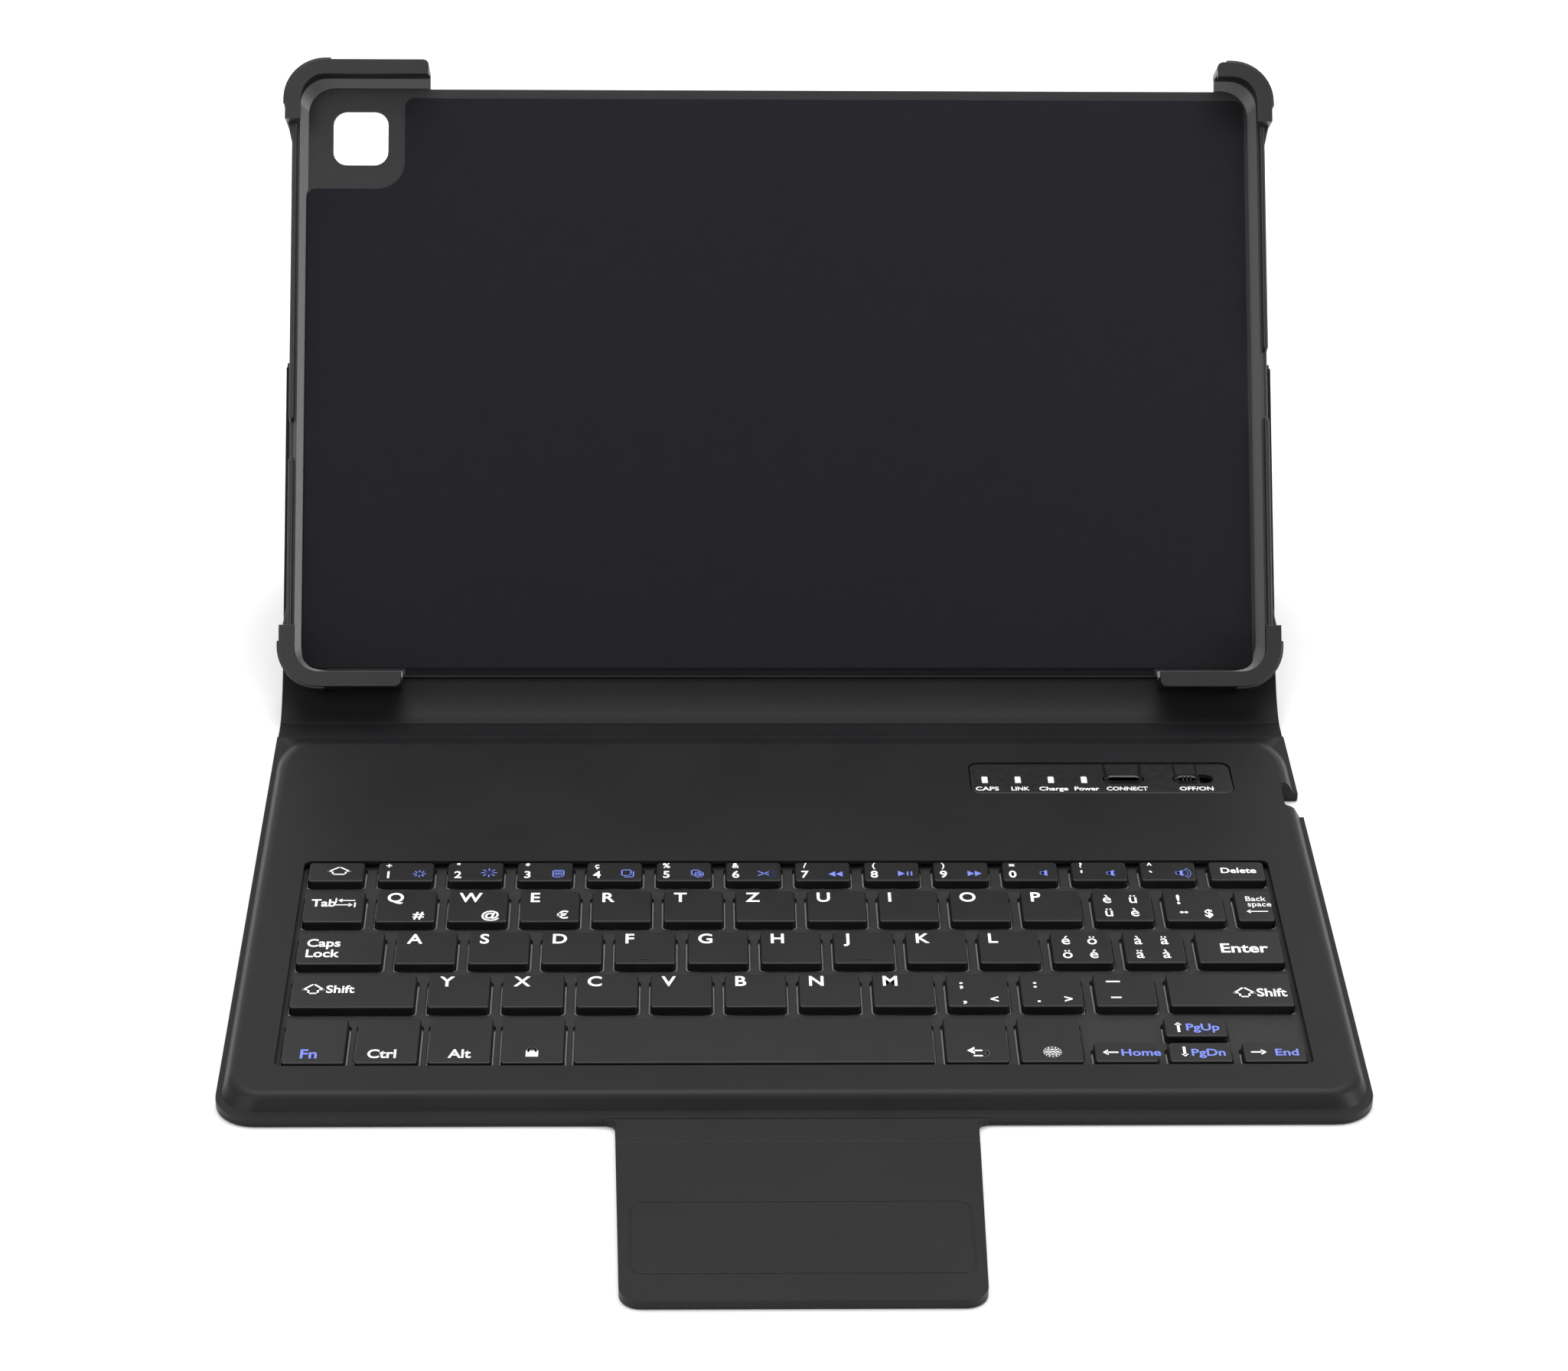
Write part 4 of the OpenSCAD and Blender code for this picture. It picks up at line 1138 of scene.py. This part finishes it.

# This thin slab is painted shade: a very dark sheet on the strip below the lining
strip = slab(
    "shade_strip", (-TRAY_HALF + CLIP_BOTTOM + 0.5, FLOOR_FRONT + 0.4, FLOOR_T - 0.2),
    (TRAY_HALF - CLIP_BOTTOM - 0.5, LINING_LOW + 1.0, FLOOR_T + 0.06), 0.3, 3,
)
place(soften(strip, 0.1, 2), ON_TRAY)
finished(strip, "tray", "black_plastic", material=STRIP_SHADE)

# %% [markdown]
# ## Indicator panel
# A glossier plate lies in the deck's upper right corner. It is sunk at its rear
# edge and nearly level at its front edge. Four windows, an oval button and a
# slide switch sit in it, each in an opening a little larger than itself. The
# plate is cut while it lies level, and then turned about its rear edge.

# %% Panel, windows and controls
WINDOWS = solids_of("status_lenses")
BUTTON_LOW, BUTTON_HIGH = box_mm("connect_button")
KNOB_LOW, KNOB_HIGH = box_mm("power_slider")
FLANGE, CLEAR, TRAVEL = 0.7, 0.35, 3.0
SLANT = 0.3
print("button", BUTTON_LOW, BUTTON_HIGH, "panel", PANEL_LOW, PANEL_HIGH, "window", WINDOWS[0])


def oval(name, low, high, grow=0.0):
    """A block with half-round ends."""
    return slab(
        name, (low[0] - grow, low[1] - grow, low[2]), (high[0] + grow, high[1] + grow, high[2]),
        (high[1] - low[1]) / 2 + grow - 0.001, 10,
    )


panel = slab(
    "indicator_plate", PANEL_LOW + Vector((0.06, 0.06, 0)), PANEL_HIGH - Vector((0.06, 0.06, 0)),
    PANEL_R - PANEL_FIT, 6,
)
PANEL_D = PANEL_HIGH.y - PANEL_LOW.y
round_edges(panel, lambda e: all(v.co.z > (PANEL_HIGH.z - 0.4) * MM for v in e.verts), 0.2, 2)
button_low = BUTTON_LOW + Vector((FLANGE, FLANGE, 0))
button_high = BUTTON_HIGH - Vector((FLANGE, FLANGE, 0))
knob_low, knob_high = KNOB_LOW + Vector(
    (FLANGE, FLANGE, 0)
), KNOB_HIGH - Vector((FLANGE, FLANGE, 0))
cut(
    panel,
    *[
        block("window", (a.x - 0.04, a.y - 0.04, 2), (b.x + 0.04, b.y + 0.04, 9)) for a,
        b in WINDOWS
    ],
    oval("button_hole", (*button_low[:2], 2), (*button_high[:2], 9), CLEAR),
    oval("knob_hole", (*knob_low[:2], 2), (knob_high.x + TRAVEL, knob_high.y, 9), CLEAR),
)
pick(panel, "FACE", lambda f: f.normal.z > 0.999)
bpy.ops.mesh.quads_convert_to_tris(quad_method="BEAUTY", ngon_method="BEAUTY")
deselect()
soften(panel, 0.16, 3, angle=40, shade=50)
activate(panel)
bpy.ops.mesh.customdata_custom_splitnormals_clear()
for face in panel.data.polygons:
    face.use_smooth = face.normal.z < 0.999
rear_edge = Matrix.Translation((0, PANEL_HIGH.y * MM, PANEL_HIGH.z * MM))
place(
    panel, rear_edge @ Matrix.Rotation(-math.atan2(SLANT, PANEL_D), 4, "X") @ rear_edge.inverted()
)
print("panel top from", PANEL_HIGH.z, "to", max(v.co.z for v in panel.data.vertices) / MM)
finished(panel, "keyboard", "gloss_black", "indicator_panel", material=PANEL)

lenses = join("status_windows", [
    soften(slab("window", a, (b.x, b.y, PANEL_HIGH.z + 0.1), 0.35, 3), 0.08, 2) for a, b in WINDOWS
])
finished(lenses, "keyboard", "clear_plastic", "status_lenses", material=LENS)


def control(name, low, high, flange_low, flange_high):
    """A button with a flange under the panel. Its top is a shallow dish."""
    cap = oval(name, low, high)
    pick(cap, "FACE", lambda f: f.normal.z > 0.9)
    bpy.ops.mesh.inset(thickness=0.55 * MM, depth=0)
    bpy.ops.mesh.inset(thickness=0.5 * MM, depth=-0.18 * MM)
    deselect()
    soften(cap, 0.12, 3, angle=30, shade=60)
    flange = oval("flange", flange_low, (*flange_high[:2], flange_low[2] + 0.4))
    return join(name, [cap, flange])


button = control(
    "connect_cap", button_low, button_high - Vector((0, 0, 0.05)), BUTTON_LOW, BUTTON_HIGH
)
finished(button, "pairing_button", "gloss_black", "connect_button", material=GLOSS)

knob = control("power_knob", knob_low, knob_high - Vector((0, 0, 0.1)), KNOB_LOW, KNOB_HIGH)
ridges = []
knob_x = (knob_low.x + knob_high.x) / 2
for step in (-0.9, 0, 0.9):
    ridges.append(soften(block(
        "ridge", (knob_x + step - 0.2, knob_low.y + 0.9, knob_high.z - 0.4),
        (knob_x + step + 0.2, knob_high.y - 0.9, knob_high.z),
    ), 0.1, 2))
knob = join("power_knob", [knob] + ridges)
finished(knob, "power_slide", "gloss_black", "power_slider", material=GLOSS)

# %% [markdown]
# ## Legends
# Every legend is printed on its key: flat letters turned into a mesh, and small
# icons made of strokes. Places are measured on the key itself, from its left
# edge and from its rear edge, to the middle of the capitals.

# %% Printing helpers
CAP_SHARE = 0.729
INK = 0.014


def coloured(thing, blue):
    return wear(thing, BLUE if blue else WHITE)


def word(text, x, y, tall, blue=False, side="LEFT", wide=0.87, heavy=0.028):
    """Flat text whose capitals are `tall` mm, on a line `y` mm from the rear edge."""
    deselect()
    bpy.ops.object.text_add(location=(0, 0, 0))
    thing = bpy.context.object
    thing.data.body = text
    thing.data.size = tall * MM / CAP_SHARE
    thing.data.offset = heavy * tall * MM
    thing.data.resolution_u = 4
    bpy.ops.object.convert(target="MESH")
    thing = bpy.context.object
    places = [v.co.x for v in thing.data.vertices]
    edge = {
        "LEFT": min(places), "CENTER": (min(places) + max(places)) / 2, "RIGHT": max(places)
    }[side]
    thing.scale = (wide, 1, 1)
    thing.location = (x * MM - edge * wide, -(y + tall / 2) * MM, 0)
    return coloured(settle(thing), blue)


def centred(text, x, y, tall, **more):
    return word(text, x, y, tall, side="CENTER", **more)


def patch(points, blue=False):
    """A flat shape with its corners at these places."""
    deselect()
    bpy.ops.mesh.primitive_circle_add(vertices=len(points), radius=MM, fill_type="NGON")
    thing = bpy.context.object
    for vert, (x, y) in zip(thing.data.vertices, points):
        vert.co = (x * MM, -y * MM, 0)
    thing.data.update()
    if thing.data.polygons[0].normal.z < 0:
        thing.data.flip_normals()
    return coloured(thing, blue)


def stroke(points, blue=False, thick=0.42, closed=False):
    """A line of even thickness through these places."""
    pieces = []
    route = list(points) + ([points[0]] if closed else [])
    for a, b in zip(route, route[1:]):
        a, b = Vector(a), Vector(b)
        along = (b - a).normalized() * thick / 2
        side = Vector((-along.y, along.x))
        pieces.append(
            patch([a - along + side, a - along - side, b + along - side, b + along + side], blue)
        )
    return join("stroke", pieces)


def ring_line(x, y, radius, blue=False, thick=0.36, start=0, end=360, squeeze=1.0, count=14):
    spots = []
    for n in range(count + 1):
        turn = math.radians(start + (end - start) * n / count)
        spots.append((x + radius * squeeze * math.cos(turn), y - radius * math.sin(turn)))
    return stroke(spots, blue, thick)


# %% Icons
def shift_arrow(x, y):
    return [stroke([
        (x, y - 2.0), (x + 2.25, y + 0.25), (x + 1.05, y + 0.25), (x + 1.05, y + 1.75),
        (x - 1.05, y + 1.75), (x - 1.05, y + 0.25), (x - 2.25, y + 0.25),
    ], thick=0.45, closed=True)]


def home(x, y):
    return [stroke([
        (x, y - 1.6), (x + 2.4, y + 0.3), (x + 1.5, y + 0.3), (x + 1.5, y + 1.6),
        (x - 1.5, y + 1.6), (x - 1.5, y + 0.3), (x - 2.4, y + 0.3),
    ], thick=0.42, closed=True)]


def sun(x, y, size):
    made = [ring_line(x, y, 0.36 * size, True, 0.3)]
    for n in range(8):
        turn = math.radians(45 * n)
        near, far = 0.62 * size, size
        made.append(stroke([
            (x + near * math.cos(turn), y + near * math.sin(turn)),
            (x + far * math.cos(turn), y + far * math.sin(turn)),
        ], True, 0.28))
    return made


def page(x, y, w=2.5, h=2.9, marks=False):
    made = [stroke([
        (x - w / 2, y - h / 2), (x + w / 2, y - h / 2), (x + w / 2, y + h / 4),
        (x + w / 4, y + h / 2),
        (x - w / 2, y + h / 2),
    ], True, 0.28, True)]
    if marks:
        made += [
            stroke([(x - 0.8, y + r), (x + 0.8, y + r)], True, 0.26) for r in (-0.75, -0.1, 0.55)
        ]
    return made


def copied(x, y):
    return page(x - 0.35, y - 0.35, 2.1, 2.5) + [stroke([
        (x - 0.7, y + 1.5), (x + 1.3, y + 1.5), (x + 1.3, y - 0.8),
    ], True, 0.28)]


def pasted(x, y):
    return page(x - 0.4, y - 0.4, 1.8, 2.2) + page(x + 0.45, y + 0.45, 1.8, 2.0) + [
        patch([(x - 0.1, y), (x + 1.0, y), (x + 1.0, y + 0.9), (x - 0.1, y + 0.9)], True),
    ]


def scissors(x, y):
    made = [
        stroke([(x - 1.9, y - 0.9), (x + 0.6, y + 0.75)], True, 0.3),
        stroke([(x - 1.9, y + 0.9), (x + 0.6, y - 0.75)], True, 0.3),
    ]
    return made + [ring_line(x + 1.15, y + r, 0.55, True, 0.3) for r in (-1.1, 1.1)]


def wedge(x, y, way):
    """A filled arrow head that points to one side."""
    return patch(
        [(x + 0.85 * way, y), (x - 0.75 * way, y - 1.15), (x - 0.75 * way, y + 1.15)], True
    )


def speaker(x, y, waves):
    made = [patch([(x - 0.9, y), (x + 0.9, y - 1.3), (x + 0.9, y + 1.3)], True),
            patch(
                [
                    (x - 0.8, y - 0.55), (x + 0.2, y - 0.55), (x + 0.2, y + 0.55),
                    (x - 0.8, y + 0.55)
                ],
                True
            )]
    for n in range(waves):
        made.append(ring_line(x + 0.3, y, 1.2 + 0.65 * n, True, 0.26, -50, 50, count=8))
    return made


def arrow(x, y, dx, dy, blue=False, head=0.75, thick=0.45):
    """A thin arrow that ends at a place, and starts (dx, dy) before it."""
    way = Vector((dx, dy)).normalized()
    side = Vector((-way.y, way.x))
    tip = Vector((x, y))
    back = tip - way * head * 1.15
    return [
        stroke([tip - Vector((dx, dy)), back + way * 0.1], blue, thick),
        patch([tip, back + side * head, back - side * head], blue),
    ]


def tab_arrows(x, y):
    made = arrow(x - 1.7, y - 0.95, -3.7, 0, head=0.8, thick=0.36) + [
        stroke([(x - 2.2, y - 1.75), (x - 2.2, y - 0.1)], thick=0.36)
    ]
    made += arrow(x + 1.7, y + 0.95, 3.7, 0, head=0.8, thick=0.36) + [
        stroke([(x + 2.2, y + 0.1), (x + 2.2, y + 1.75)], thick=0.36)
    ]
    return made


def padlock(x, y):
    return [
        patch(
            [(x - 1.35, y - 0.3), (x + 1.35, y - 0.3), (x + 1.35, y + 2.0), (x - 1.35, y + 2.0)]
        ),
        ring_line(x, y - 0.5, 0.8, thick=0.5, start=0, end=180, count=10),
        stroke([(x - 0.8, y - 0.5), (x - 0.8, y)], thick=0.5),
        stroke([(x + 0.8, y - 0.5), (x + 0.8, y)], thick=0.5),
    ]


def back_arrow(x, y):
    return [
        patch([(x - 2.5, y - 0.4), (x - 0.8, y - 1.8), (x - 0.8, y + 1.0)]),
        stroke([(x - 0.9, y - 0.4), (x + 1.1, y - 0.4)], thick=0.55),
        ring_line(x + 1.1, y + 0.6, 1.0, thick=0.5, start=90, end=-90, squeeze=0.9, count=10),
        stroke([(x + 1.1, y + 1.6), (x - 0.9, y + 1.6)], thick=0.5),
    ]


def globe(x, y):
    return [
        ring_line(x, y, 1.75, thick=0.5), ring_line(x, y, 1.6, thick=0.32, squeeze=0.42),
        stroke([(x - 1.7, y), (x + 1.7, y)], thick=0.4),
        stroke([(x - 1.4, y - 0.85), (x + 1.4, y - 0.85)], thick=0.32),
        stroke([(x - 1.4, y + 0.85), (x + 1.4, y + 0.85)], thick=0.32),
    ]


# %% [markdown]
# One function per kind of key writes its legend. The rows then say, from left
# to right, what each key carries.


# %% What each key carries
ICON_X, ICON_Y = 9.7, 5.1


def number_key(upper, lower, icon):
    return [
        centred(upper, 2.5, 1.55, 2.1), centred(lower, 2.5, 5.4, 3.0),
        *icon,
    ]


def pair_key(first, second):
    """Two accented letters above, and the same two below the other way round."""
    return [
        centred(text, x, y + 0.3, 3.7, heavy=0.012)
        for text, x,
        y in ((first, 3.6, 3.3), (second, 9.6, 3.3), (second, 3.6, 9.0), (first, 9.6, 9.0))
    ]


def number_row_legends():
    x, y = ICON_X, ICON_Y
    return [
        home(7.2, 3.7),
        number_key("+", "1", sun(x, y, 1.35)), number_key('"', "2", sun(x, y - 0.4, 1.75)),
        number_key("*", "3", page(x, y, marks=True)), number_key("ç", "4", copied(x, y)),
        number_key("%", "5", pasted(x, y)), number_key("&", "6", scissors(x, y)),
        number_key("/", "7", [wedge(x - 0.9, y + 0.3, -1), wedge(x + 0.8, y + 0.3, -1)]),
        number_key("(", "8", [
            wedge(x - 0.9, y + 0.1, 1),
            stroke([(x + 0.6, y - 0.6), (x + 0.6, y + 0.8)], True, 0.34),
            stroke([(x + 1.5, y - 0.6), (x + 1.5, y + 0.8)], True, 0.34)]),
        number_key(")", "9", [wedge(x - 0.8, y + 0.1, 1), wedge(x + 0.9, y + 0.1, 1)]),
        number_key("=", "0", speaker(x, y - 0.1, 0)),
        number_key("?", "'", speaker(x - 0.6, y, 1)), number_key("^", "`", speaker(x - 0.6, y, 3)),
        [centred("Delete", 7.0, 3.9, 2.3, wide=0.98, heavy=0.03)],
    ]


def tab_row_legends():
    return [
        [word("Tab", 1.8, 5.0, 3.1), *tab_arrows(9.6, 5.0)],
        pair_key("è", "ü"),
        [centred("!", 3.6, 3.9, 4.0), centred("¨", 4.4, 10.6, 3.6, wide=1.1, heavy=0.05),
         centred("$", 10.1, 9.8, 3.2)],
        [centred("Back", 5.1, 3.7, 2.1, heavy=0.01), centred("space", 5.7, 6.0, 2.1, heavy=0.01),
         *arrow(2.4, 9.2, -4.8, 0, head=0.8, thick=0.34)],
    ]


def caps_row_legends():
    return [
        [word("Caps", 2.2, 4.4, 3.2), word("Lock", 2.2, 8.7, 3.2)],
        pair_key("é", "ö"), pair_key("à", "ä"),
        [word("Enter", 5.6, 7.0, 3.8, wide=0.95)],
    ]


def shift_row_legends():
    return [
        [*shift_arrow(5.05, 5.8), word("Shift", 7.9, 5.8, 3.0)],
        [centred(";", 3.5, 4.0, 3.2, wide=1.1), centred(",", 4.0, 10.0, 3.2, wide=1.1),
         centred("<", 10.6, 10.2, 2.9)],
        [centred(":", 3.5, 4.0, 3.2, wide=1.1), centred(".", 4.0, 9.8, 3.2, wide=1.1),
         centred(">", 10.6, 10.2, 2.9)],
        [
            stroke([(3.3, 3.3), (5.9, 3.3)], thick=0.55),
            stroke([(3.9, 9.7), (5.7, 9.7)], thick=0.55)
        ],
        [*shift_arrow(17.1, 7.7), word("Shift", 19.9, 7.7, 3.2)],
    ]


def bottom_row_legends():
    line = 13.6
    return [
        [centred("Fn", 6.0, line, 3.5, blue=True)], [centred("Ctrl", 6.0, line, 3.3)],
        [centred("Alt", 7.0, line, 3.3)], padlock(6.9, line - 0.7), back_arrow(7.3, line - 0.3),
        globe(7.2, line - 0.1),
        [
            *arrow(1.9, 3.9, -3.2, 0, head=1.05, thick=0.5),
            word("Home", 6.0, 3.9, 2.6, True, wide=0.98)
        ],
        [
            *arrow(3.2, 2.1, 0, -3.5, head=0.85, thick=0.6),
            word("PgUp", 4.9, 3.9, 2.7, True, wide=0.95)
        ],
        [
            *arrow(3.6, 5.6, 0, 3.5, head=0.85, thick=0.6),
            word("PgDn", 5.1, 3.9, 2.7, True, wide=0.95)
        ],
        [
            *arrow(5.3, 3.9, 3.2, 0, head=1.05, thick=0.5),
            word("End", 7.2, 3.9, 2.6, True, wide=1.0)
        ],
    ]


SECOND = {"q": "#", "w": "@", "e": "€"}


def print_on(pieces, low, high):
    """Moves a legend from the origin to its key."""
    made = join("legend", pieces)
    made.location = (low.x * MM, high.y * MM, (KEY_TOP + INK) * MM)
    return settle(made)


for node in LETTERS:
    body = letter_name(node)
    letter = body[-1]
    marks = [word(letter.upper(), 2.5, 2.75, 4.0, wide=0.88)]
    if letter in SECOND:
        marks.append(centred(SECOND[letter], 10.0, 10.2, 3.2, wide=0.95))
    legend = join("print_" + body, [print_on(marks, *key_boxes[node][0])])
    finished(legend, body, None)

for row, written in zip(ROWS, (
    number_row_legends(), tab_row_legends(), caps_row_legends(), shift_row_legends(),
    bottom_row_legends(),
)):
    print(row, len(key_boxes[row]), "keys", len(written), "legends")
    legend = join("print_" + row, [
        print_on(marks, *spot) for marks, spot in zip(written, key_boxes[row])
    ])
    finished(legend, row, None)

# Two of the home keys have a small raised bar for the fingertips
for letter in "fj":
    low, high = next(key_boxes[n][0] for n in LETTERS if letter_name(n) == "key_" + letter)
    middle_x = (low.x + high.x) / 2
    bar = slab(
        "bar_key_" + letter, (middle_x - 1.5, low.y + 1.9, KEY_TOP - 0.2),
        (middle_x + 1.5, low.y + 2.5, KEY_TOP + 0.18), 0.25, 3,
    )
    soften(bar, 0.12, 2)
    finished(bar, "key_" + letter, "key_plastic", material=KEYS)

# %% Labels on the indicator panel
labels = []
LABEL_FROM_REAR, LABEL_TALL, LABEL_LIFT = 12.3, 1.75, 0.06
label_y = PANEL_HIGH.y - LABEL_FROM_REAR
label_z = PANEL_HIGH.z + SLANT * LABEL_FROM_REAR / PANEL_D
spots = [(a.x + b.x) / 2 + 0.35 for a, b in WINDOWS]
spots += [(button_low.x + button_high.x) / 2 + 0.5, (knob_low.x + knob_high.x + TRAVEL) / 2 + 0.4]
for text, x, wide in zip(
    ("CAPS", "LINK", "Charge", "Power", "CONNECT", "OFF/ON"), spots,
    (5.6, 4.4, 7.0, 6.0, 10.0, 8.2),
):
    label = centred(text, 0, 0, LABEL_TALL, wide=1.0, heavy=0.03)
    reach = (
        max(v.co.x for v in label.data.vertices) - min(v.co.x for v in label.data.vertices)
    ) / MM
    label.scale = (wide / reach, 1, 1)
    label.location = (x * MM, label_y * MM, (label_z + LABEL_LIFT) * MM)
    labels.append(settle(label))
finished(join("print_panel", labels), "keyboard", None)

# %% [markdown]
# ## Carried-over parts
# Parts that stay hidden inside keep their exact solids, and get a finish too.

# %% Finishes for the carried-over solids
CARRIED = {
    RIBS: ("base_plate", "top_frame"),
    STEEL: ("backing_plate", "charge_socket", "switch_bodies", "catch_plate"),
    SILICONE: ("dome_sheet",),
    FILM: ("membrane",),
    BOARD: ("circuit_board",),
    FOIL: ("battery",),
    CARD: ("back_board", "stand_board", "flap_stiffener"),
    MAGNET: ("flap_magnets",),
}
for material, names in CARRIED.items():
    for name in names:
        wear(frame["nodes"][name], material)

# %% [markdown]
# ## Floor, light and camera
# The case stands on a wide, flat white floor under an even white sky. One broad
# soft light hangs overhead and a little behind, so that level surfaces are a
# shade lighter than upright ones. Two smaller ones fill in from right and left.

# %% Floor
FLOOR_SIZE, FLOOR_DROP = 12, 0.0002
bpy.ops.mesh.primitive_plane_add(size=FLOOR_SIZE, location=(0, 0, -FLOOR_DROP))
floor = bpy.context.object
floor.name = "floor"
paper = plain_finish("white_floor", (0.93, 0.93, 0.93), (0.95, 0.95, 0.95), 0.7, size=60)
wear(floor, paper)

# %% Light
world = bpy.data.worlds.new("studio")
bpy.context.scene.world = world
world.use_nodes = True
sky = world.node_tree.nodes["Background"]
sky.inputs["Color"].default_value = (1, 1, 1, 1)
SKY_LIGHT = 0.72
sky.inputs["Strength"].default_value = SKY_LIGHT


def soft_light(name, place, aim, size, power):
    bpy.ops.object.light_add(type="AREA", location=place)
    lamp = bpy.context.object
    lamp.name = name
    lamp.data.shape = "RECTANGLE"
    lamp.data.size, lamp.data.size_y = size
    lamp.data.energy = power
    lamp.rotation_euler = (Vector(aim) - Vector(place)).to_track_quat("-Z", "Y").to_euler()
    return lamp


soft_light("overhead", (0.0, 0.4, 1.5), (0, 0.05, 0), (1.7, 1.1), 20)
soft_light("right", (1.35, -0.45, 0.62), (0, 0.1, 0.05), (0.5, 0.9), 9)
soft_light("front_left", (-1.2, -1.1, 1.2), (0, 0.05, 0.05), (1.2, 1.0), 10)

# %% Camera
SENSOR, LENS_LENGTH = 36, 94.6717
CAMERA_AT = (-0.0236, -0.8048, 0.5158)
YAW, PITCH, ROLL = (math.radians(a) for a in (1.55, 29.38, 0.765))
ahead = Vector((
    math.sin(YAW) * math.cos(PITCH), math.cos(YAW) * math.cos(PITCH), -math.sin(PITCH)
))
right = ahead.cross(Vector((0, 0, 1))).normalized()
up = right.cross(ahead)
right, up = (
    right * math.cos(ROLL) + up * math.sin(ROLL),
    up * math.cos(ROLL) - right * math.sin(ROLL),
)
bpy.ops.object.camera_add(location=CAMERA_AT)
camera = bpy.context.object
camera.data.sensor_width, camera.data.lens = SENSOR, LENS_LENGTH
camera.data.clip_start, camera.data.clip_end = 0.05, 40
turn = Matrix((right, up, -ahead)).transposed().to_4x4()
camera.matrix_world = Matrix.Translation(camera.location) @ turn
bpy.context.scene.camera = camera
bpy.context.scene.view_settings.view_transform = "Standard"
